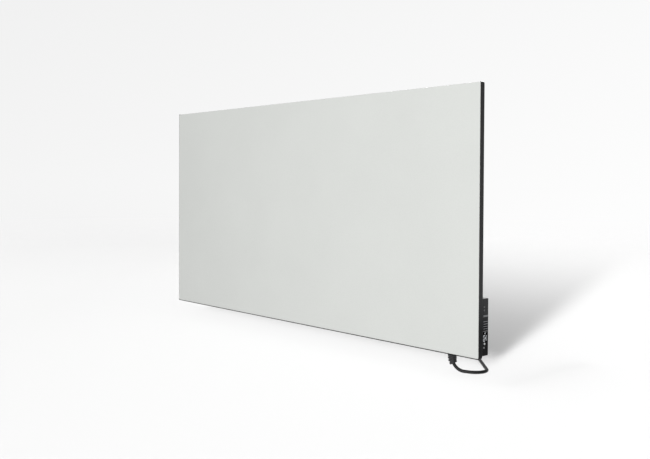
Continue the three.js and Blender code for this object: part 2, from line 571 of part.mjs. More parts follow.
// ---------------------------------------------------------------- hangers and bumpers
// a strip of constant thickness along a bent line, as an outline
function strip(line, t) {
  const left = [], right = [];
  line.forEach(([x, y], i) => {
    const a = line[Math.max(0, i - 1)], b = line[Math.min(line.length - 1, i + 1)];
    const d0 = i ? new THREE.Vector2(x - a[0], y - a[1]).normalize() : new THREE.Vector2(b[0] - x, b[1] - y).normalize();
    const d1 = i < line.length - 1 ? new THREE.Vector2(b[0] - x, b[1] - y).normalize() : d0;
    const m = d0.clone().add(d1).normalize();
    const k = t / 2 / m.dot(d0);
    left.push([x - m.y * k, y + m.x * k]);
    right.push([x + m.y * k, y - m.x * k]);
  });
  const pts = [...left, ...right.reverse()];
  const s = new THREE.Shape();
  pts.forEach(([x, y], i) => (i ? s.lineTo(x, y) : s.moveTo(x, y)));
  s.closePath();
  return s;
}
[['left', -HANG_X], ['right', HANG_X]].forEach(([name, cx]) => {
  const f = DEPTH + GAP + 0.75, p = WALL_Y - 0.75;
  let h = prism(strip([[cx - 41, f], [cx - 27.5, f], [cx - 25.8, f + 0.7], [cx - 22.6, p - 0.7], [cx - 21, p],
    [cx + 21, p], [cx + 22.6, p - 0.7], [cx + 25.8, f + 0.7], [cx + 27.5, f], [cx + 41, f]], 1.5), 'Z', 490, 550);
  const key = new THREE.Shape();
  key.absarc(cx, HANG_Z, 2.8, 0, Math.PI, false);
  key.absarc(cx, HANG_Z - 17, 5.3, Math.PI - 1.014, 2 * Math.PI + 1.014, false);
  key.closePath();
  h = h.subtract(prism(key, 'Y', WALL_Y - 4, WALL_Y + 2, 8));
  for (const dx of [-34, 34]) for (const z of [504, 536]) h = h.subtract(rod('Y', [cx + dx, 0, z], 2.1, 15, 20, 8));
  piece(`hanger_${name}`, h, 0x2a2b2f, 0.5, 0.4);
});
rivets.forEach(([x, z], i) => piece(`hanger_rivet_${i + 1}`, turned([
  [0, 14.3], [2.5, 14.3], [2.6, 15.4], [1.6, 15.4], [1.6, 18.6], [3.7, 18.6], [3.3, 19.4], [2.2, 19.9], [0, 20]], 'Y', [x, 0, z], 8), STEEL, 0.4, 0.8));

[['left', -HANG_X], ['right', HANG_X]].forEach(([name, cx]) => {
  piece(`wall_bumper_${name}`, turned([
    [2.2, DEPTH + GAP], [12.6, DEPTH + GAP], [13, DEPTH + 1.2], [11, WALL_Y - 1.2], [10, WALL_Y], [4.6, WALL_Y],
    [4.4, WALL_Y - 9], [2.2, WALL_Y - 9], [2.2, DEPTH + GAP]], 'Y', [cx, 0, 84], 16), 0x1b1b1d, 0.85);
  piece(`bumper_screw_${name}`, screw(cx, 84, 13.9, WALL_Y - 8.7, WALL_Y - 5.6, 1.8, 3.9, 2.1), STEEL, 0.35, 0.9);
});

export default heater;
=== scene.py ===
# Looks of a wall-hung ceramic panel heater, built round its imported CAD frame.
# Lengths below are written in millimetres in panel coordinates (origin: bottom centre of the
# front face, X right, Y back, Z up) and turned into the frame's metres when a mesh is made.

import math

import bmesh
import bpy
from mathutils import Matrix, Vector


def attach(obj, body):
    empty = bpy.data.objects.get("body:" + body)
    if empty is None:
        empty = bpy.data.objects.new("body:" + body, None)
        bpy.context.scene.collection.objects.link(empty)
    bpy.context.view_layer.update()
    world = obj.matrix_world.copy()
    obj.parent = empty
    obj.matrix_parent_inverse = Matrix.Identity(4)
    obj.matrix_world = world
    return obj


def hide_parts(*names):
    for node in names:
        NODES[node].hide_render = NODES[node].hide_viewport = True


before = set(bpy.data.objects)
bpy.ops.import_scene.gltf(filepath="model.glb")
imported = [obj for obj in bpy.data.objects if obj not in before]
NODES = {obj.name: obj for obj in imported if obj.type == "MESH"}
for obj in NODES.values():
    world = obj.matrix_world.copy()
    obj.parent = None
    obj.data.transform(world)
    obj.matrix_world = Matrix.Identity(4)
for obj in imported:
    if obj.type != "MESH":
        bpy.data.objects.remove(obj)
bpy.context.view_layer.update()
BODY = "heater"

# ------------------------------------------------------------------ dimensions
W, H = 1200.0, 600.0
DEPTH, SHEET = 16.5, 0.8
R_EDGE, R_FOOT, R_CORNER = 4.5, 8.0, 3.0
RIM_Y = 0.4
WALL_Y, HANG_Z, HANG_X = 38.0, 530.0, 400.0
BOX_X0, BOX_X1, BOX_Z0, BOX_Z1, BOX_Y0, BOX_Y1 = 486.0, 595.4, 6.0, 131.0, 16.8, 35.6
FASCIA_X0, FASCIA_X1 = 595.7, 598.2
GLAND_X, GLAND_Y = 507.0, 26.2
FLOOR_Z, CORD_D = -44.5, 7.5
CORD_Z = FLOOR_Z + CORD_D / 2
HANK_X, HANK_Y, HANK_HALF = 302.0, 207.5, 78.0
PLUG_X, PLUG_Y, PLUG_Z = HANK_X - HANK_HALF - 27.0, HANK_Y - 26.4, FLOOR_Z + 18.9
HEAD = math.radians(18)
HX, HY = math.cos(HEAD), math.sin(HEAD)
R1, T1, R2 = 30.0, math.radians(27), 28.4
BEND_Z = CORD_Z + R2 * (1 - math.sin(T1)) + R1 * math.sin(T1)
RELIEF_L = R1 * T1


def at(x, y, z):
    return Vector((x / 1000.0, (y - WALL_Y) / 1000.0, (z - HANG_Z) / 1000.0))


# ------------------------------------------------------------------ camera
def make_camera():
    yaw, pitch, roll = 0.83587, -0.020892, 0.0042914
    fwd = Vector((-math.sin(yaw) * math.cos(pitch), math.cos(yaw) * math.cos(pitch), math.sin(pitch)))
    right = Vector((math.cos(yaw), math.sin(yaw), 0))
    up = right.cross(fwd)
    r = right * math.cos(roll) + up * math.sin(roll)
    u = up * math.cos(roll) - right * math.sin(roll)
    data = bpy.data.cameras.new("camera")
    data.lens = 45.27
    data.sensor_width = 36.0
    data.sensor_fit = "HORIZONTAL"
    data.shift_y = -29.2 / 650
    data.clip_start, data.clip_end = 0.05, 200
    cam = bpy.data.objects.new("camera", data)
    m = Matrix.Identity(4)
    for i in range(3):
        m[i][0], m[i][1], m[i][2] = r[i], u[i], -fwd[i]
    m.translation = at(1678.29, -1422.52, 380.13)
    cam.matrix_world = m
    bpy.context.scene.collection.objects.link(cam)
    bpy.context.scene.camera = cam


make_camera()


# ------------------------------------------------------------------ materials
class Nodes:
    """A small helper that lays out one material."""

    def __init__(self, name):
        self.mat = bpy.data.materials.new(name)
        self.mat.use_nodes = True
        self.t = self.mat.node_tree
        self.t.nodes.clear()
        self.out = self.new("ShaderNodeOutputMaterial")
        self.b = self.new("ShaderNodeBsdfPrincipled")
        self.link(self.b.outputs[0], self.out.inputs[0])
        self.co = self.new("ShaderNodeTexCoord").outputs["Object"]

    def new(self, kind, **props):
        n = self.t.nodes.new(kind)
        for k, v in props.items():
            setattr(n, k, v)
        return n

    def link(self, a, b):
        self.t.links.new(a, b)

    def set(self, **values):
        names = {
            "color": "Base Color", "rough": "Roughness", "metal": "Metallic", "ior": "IOR",
            "spec": "Specular IOR Level", "coat": "Coat Weight", "coat_rough": "Coat Roughness",
            "sheen": "Sheen Weight", "sheen_rough": "Sheen Roughness", "sub": "Subsurface Weight",
            "emit": "Emission Color", "emit_strength": "Emission Strength", "alpha": "Alpha",
            "aniso": "Anisotropic",
        }
        for k, v in values.items():
            if k in ("color", "emit"):
                v = (*v, 1.0)
            self.b.inputs[names[k]].default_value = v
        return self

    def coords(self, scale=(1, 1, 1)):
        m = self.new("ShaderNodeMapping")
        m.inputs["Scale"].default_value = scale
        self.link(self.co, m.inputs["Vector"])
        return m.outputs[0]

    def noise(self, size_mm, detail=2.0, rough=0.5, stretch=(1, 1, 1), distortion=0.0):
        n = self.new("ShaderNodeTexNoise")
        n.inputs["Scale"].default_value = 1000.0 / size_mm
        n.inputs["Detail"].default_value = detail
        n.inputs["Roughness"].default_value = rough
        n.inputs["Distortion"].default_value = distortion
        self.link(self.coords(stretch), n.inputs["Vector"])
        return n.outputs["Fac"]

    def voronoi(self, size_mm, feature="F1", stretch=(1, 1, 1)):
        n = self.new("ShaderNodeTexVoronoi")
        n.feature = feature
        n.inputs["Scale"].default_value = 1000.0 / size_mm
        self.link(self.coords(stretch), n.inputs["Vector"])
        return n.outputs["Distance"]

    def ramp(self, fac, stops):
        r = self.new("ShaderNodeValToRGB")
        e = r.color_ramp.elements
        while len(e) < len(stops):
            e.new(0.5)
        for el, (p, c) in zip(e, stops):
            el.position = p
            el.color = (*c, 1.0) if len(c) == 3 else c
        self.link(fac, r.inputs[0])
        return r.outputs[0]

    def rangemap(self, fac, lo, hi, a=0.0, b=1.0):
        r = self.new("ShaderNodeMapRange")
        r.inputs["From Min"].default_value = a
        r.inputs["From Max"].default_value = b
        r.inputs["To Min"].default_value = lo
        r.inputs["To Max"].default_value = hi
        self.link(fac, r.inputs["Value"])
        return r.outputs[0]

    def mix(self, a, b, fac=0.5, mode="MIX"):
        m = self.new("ShaderNodeMix", data_type="RGBA", blend_type=mode)
        for sock, v in ((m.inputs[6], a), (m.inputs[7], b), (m.inputs[0], fac)):
            if hasattr(v, "is_linked"):
                self.link(v, sock)
            elif isinstance(v, tuple):
                sock.default_value = (*v, 1.0)
            else:
                sock.default_value = v
        return m.outputs[2]

    def math(self, op, a, b=None):
        m = self.new("ShaderNodeMath", operation=op)
        for sock, v in ((m.inputs[0], a), (m.inputs[1], b)):
            if v is None:
                continue
            if hasattr(v, "is_linked"):
                self.link(v, sock)
            else:
                sock.default_value = v
        return m.outputs[0]

    def color(self, sock):
        self.link(sock, self.b.inputs["Base Color"])
        return self

    def rough(self, sock):
        self.link(sock, self.b.inputs["Roughness"])
        return self

    def bump(self, *layers):
        """layers: (height socket, distance in mm, strength)"""
        prev = None
        for height, dist, strength in layers:
            n = self.new("ShaderNodeBump")
            n.inputs["Distance"].default_value = dist / 1000.0
            n.inputs["Strength"].default_value = strength
            self.link(height, n.inputs["Height"])
            if prev is not None:
                self.link(prev, n.inputs["Normal"])
            prev = n.outputs[0]
        self.link(prev, self.b.inputs["Normal"])
        return self


def toned(c, k):
    return tuple(min(1.0, v * k) for v in c)


def porcelain():
    n = Nodes("porcelain_tile")
    base = (0.705, 0.722, 0.697)
    cloud = n.noise(160, 3, 0.55)
    speck = n.noise(2.2, 3, 0.65)
    grit = n.voronoi(1.3)
    c = n.ramp(cloud, [(0.3, toned(base, 0.975)), (0.7, toned(base, 1.02))])
    c = n.mix(c, n.ramp(speck, [(0.35, toned(base, 0.93)), (0.5, base), (0.68, toned(base, 1.05))]), 0.35)
    c = n.mix(c, n.ramp(grit, [(0.0, toned(base, 0.8)), (0.16, base)]), 0.12)
    n.color(c)
    n.rough(n.rangemap(n.noise(9, 4, 0.6), 0.36, 0.5, 0.25, 0.75))
    n.set(ior=1.5, spec=0.42)
    n.bump((n.noise(26, 2), 0.12, 0.12), (n.noise(1.1, 3, 0.7), 0.03, 0.25))
    return n.mat


def powder_coat(name, base=(0.021, 0.0212, 0.0225), lo=0.42, hi=0.56, grain=0.9):
    n = Nodes(name)
    c = n.ramp(n.noise(60, 3), [(0.3, toned(base, 0.88)), (0.7, toned(base, 1.12))])
    c = n.mix(c, n.ramp(n.voronoi(0.8), [(0.0, toned(base, 2.2)), (0.12, base)]), 0.22)
    n.color(c)
    n.rough(n.rangemap(n.noise(3.0, 3), lo, hi, 0.3, 0.7))
    n.set(spec=0.26)
    n.bump((n.noise(grain, 2, 0.6), 0.06, 0.35), (n.noise(7, 2), 0.1, 0.1))
    return n.mat


def moulded(name, base, lo=0.45, hi=0.6, grain=0.35, depth=0.03, strength=0.4, spec=0.5):
    n = Nodes(name)
    c = n.ramp(n.noise(24, 3), [(0.3, toned(base, 0.9)), (0.7, toned(base, 1.1))])
    n.color(n.mix(c, n.ramp(n.noise(0.7, 2), [(0.4, toned(base, 0.9)), (0.65, toned(base, 1.25))]), 0.3))
    n.rough(n.rangemap(n.noise(5, 3), lo, hi, 0.3, 0.7))
    n.set(spec=spec)
    n.bump((n.noise(grain, 2, 0.6), depth, strength))
    return n.mat


def rubbery(name, base, lo=0.6, hi=0.78, spec=0.4, sheen=0.03):
    n = Nodes(name)
    c = n.ramp(n.noise(11, 4, 0.6), [(0.3, toned(base, 0.85)), (0.7, toned(base, 1.25))])
    n.color(n.mix(c, n.ramp(n.noise(0.9, 3, 0.7), [(0.4, toned(base, 0.9)), (0.7, toned(base, 1.7))]), 0.25))
    n.rough(n.rangemap(n.noise(2.5, 3), lo, hi, 0.3, 0.7))
    n.set(spec=spec, sheen=sheen, sheen_rough=0.5)
    n.bump((n.noise(0.6, 3, 0.6), 0.03, 0.4), (n.noise(5, 2), 0.06, 0.15))
    return n.mat


def metal(name, base, lo=0.25, hi=0.42, stretch=(1, 1, 1), size=1.2, dark=0.75):
    n = Nodes(name)
    c = n.ramp(n.noise(14, 4, 0.6), [(0.3, toned(base, dark)), (0.7, base)])
    n.color(n.mix(c, n.ramp(n.noise(size, 3, 0.6, stretch), [(0.35, toned(base, 0.9)), (0.65, toned(base, 1.06))]), 0.5))
    n.rough(n.rangemap(n.noise(size, 3, 0.6, stretch), lo, hi, 0.3, 0.7))
    n.set(metal=1.0)
    n.bump((n.noise(size, 3, 0.6, stretch), 0.02, 0.25))
    return n.mat


def woven(name, base, pitch=0.8):
    n = Nodes(name)
    w = n.new("ShaderNodeTexWave")
    w.wave_type = "BANDS"
    w.bands_direction = "DIAGONAL"
    w.inputs["Scale"].default_value = 1000.0 / pitch / 6.28
    w.inputs["Distortion"].default_value = 1.2
    w.inputs["Detail"].default_value = 2
    n.link(n.coords(), w.inputs["Vector"])
    h = w.outputs["Fac"]
    n.color(n.ramp(h, [(0.2, toned(base, 0.72)), (0.8, toned(base, 1.15))]))
    n.rough(n.rangemap(h, 0.95, 0.75))
    n.set(sheen=0.2, sheen_rough=0.5)
    n.bump((h, 0.2, 0.6), (n.noise(0.5, 3, 0.7), 0.08, 0.4))
    return n.mat


def felt(name, base):
    n = Nodes(name)
    c = n.ramp(n.noise(4, 5, 0.7), [(0.3, toned(base, 0.82)), (0.7, toned(base, 1.06))])
    n.color(n.mix(c, n.ramp(n.noise(0.7, 4, 0.7, (1, 1, 0.2)), [(0.3, toned(base, 0.8)), (0.7, base)]), 0.4))
    n.rough(n.rangemap(n.noise(1.2, 4), 0.85, 1.0))
    n.set(sheen=0.15)
    n.bump((n.noise(0.6, 4, 0.75, (1, 1, 0.25)), 0.15, 0.6))
    return n.mat


def circuit_board(name):
    n = Nodes(name)
    base = (0.012, 0.085, 0.03)
    brick = n.new("ShaderNodeTexBrick")
    brick.inputs["Scale"].default_value = 260.0
    brick.inputs["Color1"].default_value = (*toned(base, 1.5), 1)
    brick.inputs["Color2"].default_value = (*toned(base, 1.2), 1)
    brick.inputs["Mortar"].default_value = (*base, 1)
    brick.inputs["Mortar Size"].default_value = 0.03
    n.link(n.coords(), brick.inputs["Vector"])
    n.color(n.mix(brick.outputs[0], n.ramp(n.voronoi(3.2), [(0.0, (0.45, 0.4, 0.25)), (0.1, base)]), 0.3))
    n.rough(n.rangemap(n.noise(3, 2), 0.3, 0.5))
    n.bump((brick.outputs[1], 0.03, 0.3))
    return n.mat


def mica(name):
    n = Nodes(name)
    base = (0.5, 0.42, 0.27)
    flakes = n.voronoi(9, "F1", (1, 1, 1.6))
    n.color(n.ramp(flakes, [(0.0, toned(base, 0.7)), (0.5, base), (1.0, toned(base, 1.3))]))
    n.rough(n.rangemap(n.noise(4, 3), 0.3, 0.55))
    n.set(coat=0.2, coat_rough=0.3)
    n.bump((flakes, 0.05, 0.3))
    return n.mat


def striped_sheath(name, a, b):
    n = Nodes(name)
    w = n.new("ShaderNodeTexWave")
    w.bands_direction = "DIAGONAL"
    w.inputs["Scale"].default_value = 90
    n.link(n.coords(), w.inputs["Vector"])
    n.color(n.ramp(w.outputs["Fac"], [(0.48, a), (0.52, b)]))
    n.rough(n.rangemap(n.noise(2, 3), 0.3, 0.45))
    n.bump((n.noise(0.8, 2), 0.02, 0.3))
    return n.mat


def plain_glow(name, c, strength):
    n = Nodes(name)
    n.set(color=c, emit=c, emit_strength=strength, rough=0.4)
    n.color(n.ramp(n.noise(1.0, 2), [(0.3, toned(c, 0.9)), (0.7, c)]))
    return n.mat


M = {
    "tile": porcelain(),
    "tray": powder_coat("black_powder_coat"),
    "gasket": rubbery("silicone_seal", (0.03, 0.03, 0.031)),
    "ribbon": metal("resistance_ribbon", (0.55, 0.47, 0.4), 0.3, 0.45, (1, 1, 8)),
    "mica": mica("mica_board"),
    "fibre": felt("ceramic_fibre", (0.82, 0.8, 0.74)),
    # reflector foil coloured far darker than bright aluminium: painted shade for the dim space seen through the
    # back's slots
    "foil": metal("shade_dimmed_foil", (0.34, 0.345, 0.35), 0.3, 0.45, (1, 1, 1), 12),
    "box": moulded("black_moulding", (0.0125, 0.0127, 0.0135), 0.42, 0.56, spec=0.2),
    "fascia": moulded("fascia_moulding", (0.014, 0.0142, 0.0155), 0.36, 0.48, spec=0.3),
    # vent ribs coloured light grey: a painted highlight for the light caught by their raised edges on the black
    # fascia
    "rib": moulded("vent_rib_painted_highlight", (0.3, 0.302, 0.312), 0.36, 0.5, spec=0.3),
    "bar": moulded("frosted_bar", (0.235, 0.237, 0.245), 0.25, 0.36, 0.8, 0.02, 0.3),
    "display": moulded("display_glass", (0.0045, 0.0047, 0.0055), 0.06, 0.12, 6, 0.005, 0.1),
    "digit": plain_glow("lit_digit", (0.9, 0.93, 0.97), 0.33),
    "button": moulded("button_grey", (0.13, 0.132, 0.138), 0.4, 0.52),
    # the white set key glows faintly though it holds no lamp: painted light that makes it read brighter
    "white": plain_glow("button_white", (0.86, 0.87, 0.86), 0.14),
    "button_low": moulded("button_light_grey", (0.42, 0.422, 0.43), 0.4, 0.52),
    "switch": moulded("switch_body", (0.03, 0.03, 0.032), 0.4, 0.55),
    "board": circuit_board("green_board"),
    "relay": moulded("relay_case", (0.02, 0.09, 0.36), 0.25, 0.35),
    "capacitor": moulded("capacitor_case", (0.62, 0.4, 0.05), 0.25, 0.4),
    "terminal": moulded("terminal_moulding", (0.7, 0.7, 0.67), 0.4, 0.5),
    "cord": rubbery("cord_sheath", (0.0085, 0.0086, 0.0091), 0.36, 0.48, 0.3, 0.0),
    "relief": rubbery("relief_moulding", (0.022, 0.0222, 0.023), 0.36, 0.5, 0.42, 0.0),
    "plug": moulded("plug_moulding", (0.0155, 0.0157, 0.0165), 0.45, 0.6),
    "pin": metal("nickel_pin", (0.66, 0.64, 0.6), 0.16, 0.28),
    "hanger": powder_coat("hanger_coat", (0.032, 0.0325, 0.034), 0.38, 0.5),
    "rivet": metal("rivet_aluminium", (0.72, 0.73, 0.74), 0.26, 0.42),
    "screw": metal("zinc_screw", (0.62, 0.63, 0.64), 0.2, 0.38),
    "dark_screw": metal("black_zinc_screw", (0.1, 0.1, 0.105), 0.28, 0.42),
    "bumper": rubbery("bumper_rubber", (0.02, 0.02, 0.0205)),
    "strap": woven("strap_weave", (0.02, 0.02, 0.0215)),
    "sleeve": woven("glass_sleeve", (0.7, 0.68, 0.6), 0.6),
    "live": moulded("brown_sheath", (0.17, 0.055, 0.02), 0.3, 0.4),
    "neutral": moulded("blue_sheath", (0.02, 0.09, 0.38), 0.3, 0.4),
    "earth": striped_sheath("green_yellow_sheath", (0.08, 0.3, 0.03), (0.75, 0.6, 0.04)),
    "sensor": moulded("sensor_bead", (0.05, 0.03, 0.012), 0.2, 0.3),
    "sensor_lead": rubbery("sensor_sheath", (0.03, 0.03, 0.03)),
}


# ------------------------------------------------------------------ mesh helpers
def link(ob):
    bpy.context.scene.collection.objects.link(ob)
    return ob


def soften(me, angle=32.0):
    """Smooth faces, with edges sharper than the angle kept crisp."""
    bm = bmesh.new()
    bm.from_mesh(me)
    lim = math.radians(angle)
    for f in bm.faces:
        f.smooth = True
    for e in bm.edges:
        e.smooth = not (len(e.link_faces) == 2 and e.calc_face_angle(0.0) > lim) and len(e.link_faces) == 2
    bm.to_mesh(me)
    bm.free()


def from_bm(name, bm, mat, weld=True):
    if weld:
        bmesh.ops.remove_doubles(bm, verts=bm.verts, dist=2e-7)
    bmesh.ops.recalc_face_normals(bm, faces=bm.faces)
    me = bpy.data.meshes.new(name)
    bm.to_mesh(me)
    bm.free()
    for m in mat if isinstance(mat, (list, tuple)) else [mat]:
        me.materials.append(m)
    return link(bpy.data.objects.new(name, me))


def settle(ob):
    """Applies an object's modifiers to its mesh."""
    dg = bpy.context.evaluated_depsgraph_get()
    dg.update()
    me = bpy.data.meshes.new_from_object(ob.evaluated_get(dg), preserve_all_data_layers=True, depsgraph=dg)
    old = ob.data
    ob.modifiers.clear()
    ob.data = me
    if hasattr(old, "vertices"):
        bpy.data.meshes.remove(old)
    return ob


def level(ob):
    """Flat faces shade flat: vertex normals follow the larger faces."""
    m = ob.modifiers.new("normals", "WEIGHTED_NORMAL")
    m.mode = "FACE_AREA"
    m.weight = 50
    m.keep_sharp = True
    settle(ob)


def bevelled(ob, width, segments=2, angle=35, harden=True):
    m = ob.modifiers.new("edge", "BEVEL")
    m.width = width / 1000.0
    m.segments = segments
    m.limit_method = "ANGLE"
    m.angle_limit = math.radians(angle)
    m.use_clamp_overlap = True
    m.miter_outer = "MITER_ARC"
    settle(ob)
    return ob


def cut(ob, *cutters, keep=False):
    for c in cutters:
        m = ob.modifiers.new("cut", "BOOLEAN")
        m.operation = "DIFFERENCE"
        m.solver = "EXACT"
        m.object = c
    settle(ob)
    if not keep:
        for c in cutters:
            bpy.data.objects.remove(c)
    return ob


def joined(name, obs, mat=None):
    """One object from several, materials kept in order of first use."""
    bm = bmesh.new()
    mats = []
    for o in obs:
        me = o.data
        for m in me.materials:
            if m not in mats:
                mats.append(m)
        idx = [mats.index(m) for m in me.materials] or [0]
        start = len(bm.faces)
        bm.from_mesh(me)
        bm.faces.ensure_lookup_table()
        for f in bm.faces[start:]:
            f.material_index = idx[min(f.material_index, len(idx) - 1)]
    me = bpy.data.meshes.new(name)
    bm.to_mesh(me)
    bm.free()
    for m in mats:
        me.materials.append(m)
    for o in obs:
        bpy.data.objects.remove(o)
    return link(bpy.data.objects.new(name, me))


def block(name, x0, x1, y0, y1, z0, z1, mat):
    bm = bmesh.new()
    vs = [bm.verts.new(at(x, y, z)) for x in (x0, x1) for y in (y0, y1) for z in (z0, z1)]
    for f in ((0, 1, 3, 2), (4, 6, 7, 5), (0, 4, 5, 1), (2, 3, 7, 6), (0, 2, 6, 4), (1, 5, 7, 3)):
        bm.faces.new([vs[i] for i in f])
    return from_bm(name, bm, mat)


def place(axis, u, v, w):
    """(u, v) across and w along an axis, as panel coordinates."""
    return {"X": (w, u, v), "Y": (u, w, v), "Z": (u, v, w)}[axis]


def plate(name, outer, holes, axis, a0, a1, mat, bevel=0.3, res=2):
    """A flat piece with holes, its edges rounded all round."""
    cu = bpy.data.curves.new(name + "_outline", "CURVE")
    cu.dimensions = "2D"
    cu.fill_mode = "BOTH"
    b = bevel / 1000.0
    cu.extrude = max(0.0, (a1 - a0) / 2000.0 - b)
    cu.bevel_depth = b
    cu.bevel_resolution = res
    cu.offset = -b
    for i, pts in enumerate([outer, *holes]):
        area = sum(p[0] * q[1] - q[0] * p[1] for p, q in zip(pts, pts[1:] + pts[:1]))
        if (area > 0) == (i > 0):
            pts = pts[::-1]
        sp = cu.splines.new("POLY")
        sp.points.add(len(pts) - 1)
        for k, p in enumerate(pts):
            sp.points[k].co = (p[0] / 1000.0, p[1] / 1000.0, 0, 1)
        sp.use_cyclic_u = True
    ob = link(bpy.data.objects.new(name + "_outline", cu))
    dg = bpy.context.evaluated_depsgraph_get()
    dg.update()
    me = bpy.data.meshes.new_from_object(ob.evaluated_get(dg), depsgraph=dg)
    bpy.data.objects.remove(ob)
    mid = (a0 + a1) / 2
    bm = bmesh.new()
    bm.from_mesh(me)
    bpy.data.meshes.remove(me)
    for v in bm.verts:
        u, w, t = v.co * 1000.0
        v.co = at(*place(axis, u, w, mid + t))
    bmesh.ops.remove_doubles(bm, verts=bm.verts, dist=1e-6)
    return from_bm(name, bm, mat, weld=False)


def prism(name, outline, axis, a0, a1, mat):
    bm = bmesh.new()
    lo = [bm.verts.new(at(*place(axis, u, v, a0))) for u, v in outline]
    hi = [bm.verts.new(at(*place(axis, u, v, a1))) for u, v in outline]
    n = len(outline)
    bm.faces.new(lo)
    bm.faces.new(hi[::-1])
    for i in range(n):
        j = (i + 1) % n
        bm.faces.new((lo[i], lo[j], hi[j], hi[i]))
    return from_bm(name, bm, mat)


def lathe(name, profile, axis, centre, mat, sides=48):
    """profile: [radius, distance along the axis]; the centre's own coordinate on that axis is unused."""
    bm = bmesh.new()
    cu, cv = {"X": (centre[1], centre[2]), "Y": (centre[0], centre[2]), "Z": (centre[0], centre[1])}[axis]
    rings = []
    for r, t in profile:
        if r < 1e-6:
            rings.append([bm.verts.new(at(*place(axis, cu, cv, t)))])
        else:
            rings.append([
                bm.verts.new(at(*place(axis, cu + r * math.cos(2 * math.pi * i / sides), cv + r * math.sin(2 * math.pi * i / sides), t)))
                for i in range(sides)
            ])
    for a, b in zip(rings, rings[1:]):
        for i in range(sides):
            j = (i + 1) % sides
            if len(a) == 1 and len(b) == 1:
                continue
            if len(a) == 1:
                bm.faces.new((a[0], b[i], b[j]))
            elif len(b) == 1:
                bm.faces.new((a[i], a[j], b[0]))
            else:
                bm.faces.new((a[i], a[j], b[j], b[i]))
    return from_bm(name, bm, mat)


def loft(name, rings, mat, caps=(True, True), loop=False):
    bm = bmesh.new()
    vs = [[bm.verts.new(at(*p)) for p in r] for r in rings]
    n = len(rings[0])
    pairs = list(zip(vs, vs[1:])) + ([(vs[-1], vs[0])] if loop else [])
    for a, b in pairs:
        for i in range(n):
            j = (i + 1) % n
            bm.faces.new((a[i], a[j], b[j], b[i]))
    if not loop:
        if caps[0]:
            bm.faces.new(vs[0][::-1])
        if caps[1]:
            bm.faces.new(vs[-1])
    return from_bm(name, bm, mat)


def arc(cx, cy, r, a0, a1, n):
    return [(cx + r * math.cos(math.radians(a0 + (a1 - a0) * i / n)), cy + r * math.sin(math.radians(a0 + (a1 - a0) * i / n))) for i in range(n + 1)]


def rounded(a0, a1, b0, b1, r, n=6):
    return arc(a1 - r, b0 + r, r, -90, 0, n) + arc(a1 - r, b1 - r, r, 0, 90, n) + arc(a0 + r, b1 - r, r, 90, 180, n) + arc(a0 + r, b0 + r, r, 180, 270, n)


def circle(cx, cy, r, n=28):
    return [(cx + r * math.cos(2 * math.pi * i / n), cy + r * math.sin(2 * math.pi * i / n)) for i in range(n)]


def slot_outline(a, b, long, wide, upright=False, n=8):
    h, r = (long - wide) / 2, wide / 2
    if upright:
        return arc(a, b + h, r, 0, 180, n) + arc(a, b - h, r, 180, 360, n)
    return arc(a + h, b, r, -90, 90, n) + arc(a - h, b, r, 90, 270, n)


def diamond(y, z, h):
    return [(y + h, z), (y, z + h), (y - h, z), (y, z - h)]


def show(ob, mat_slot, *replaced, body=BODY, angle=32.0, flat=False):
    soften(ob.data, angle)
    if flat:
        level(ob)
    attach(ob, body)
    if replaced:
        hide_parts(*replaced)
    return ob


# ------------------------------------------------------------------ the cord, first of all
def drop(s):
    """Centre line of the relief and the cord below it; s is the length from the start of the bend."""
    l1, l2 = R1 * T1, R2 * (math.pi / 2 - T1)
    if s <= 0:
        u, z, t = 0.0, BEND_Z - s, 0.0
    elif s <= l1:
        t = s / R1
        u, z = R1 * (1 - math.cos(t)), BEND_Z - R1 * math.sin(t)
    else:
        t = min(math.pi / 2, T1 + (s - l1) / R2)
        u = R1 * (1 - math.cos(T1)) + R2 * (math.cos(T1) - math.cos(t))
        z = BEND_Z - R1 * math.sin(T1) - R2 * (math.sin(t) - math.sin(T1))
        if s > l1 + l2:
            u += s - l1 - l2
    return (GLAND_X + u * HX, GLAND_Y + u * HY, z), t


def ease(t):
    t = max(0.0, min(1.0, t))
    return t * t * (3 - 2 * t)


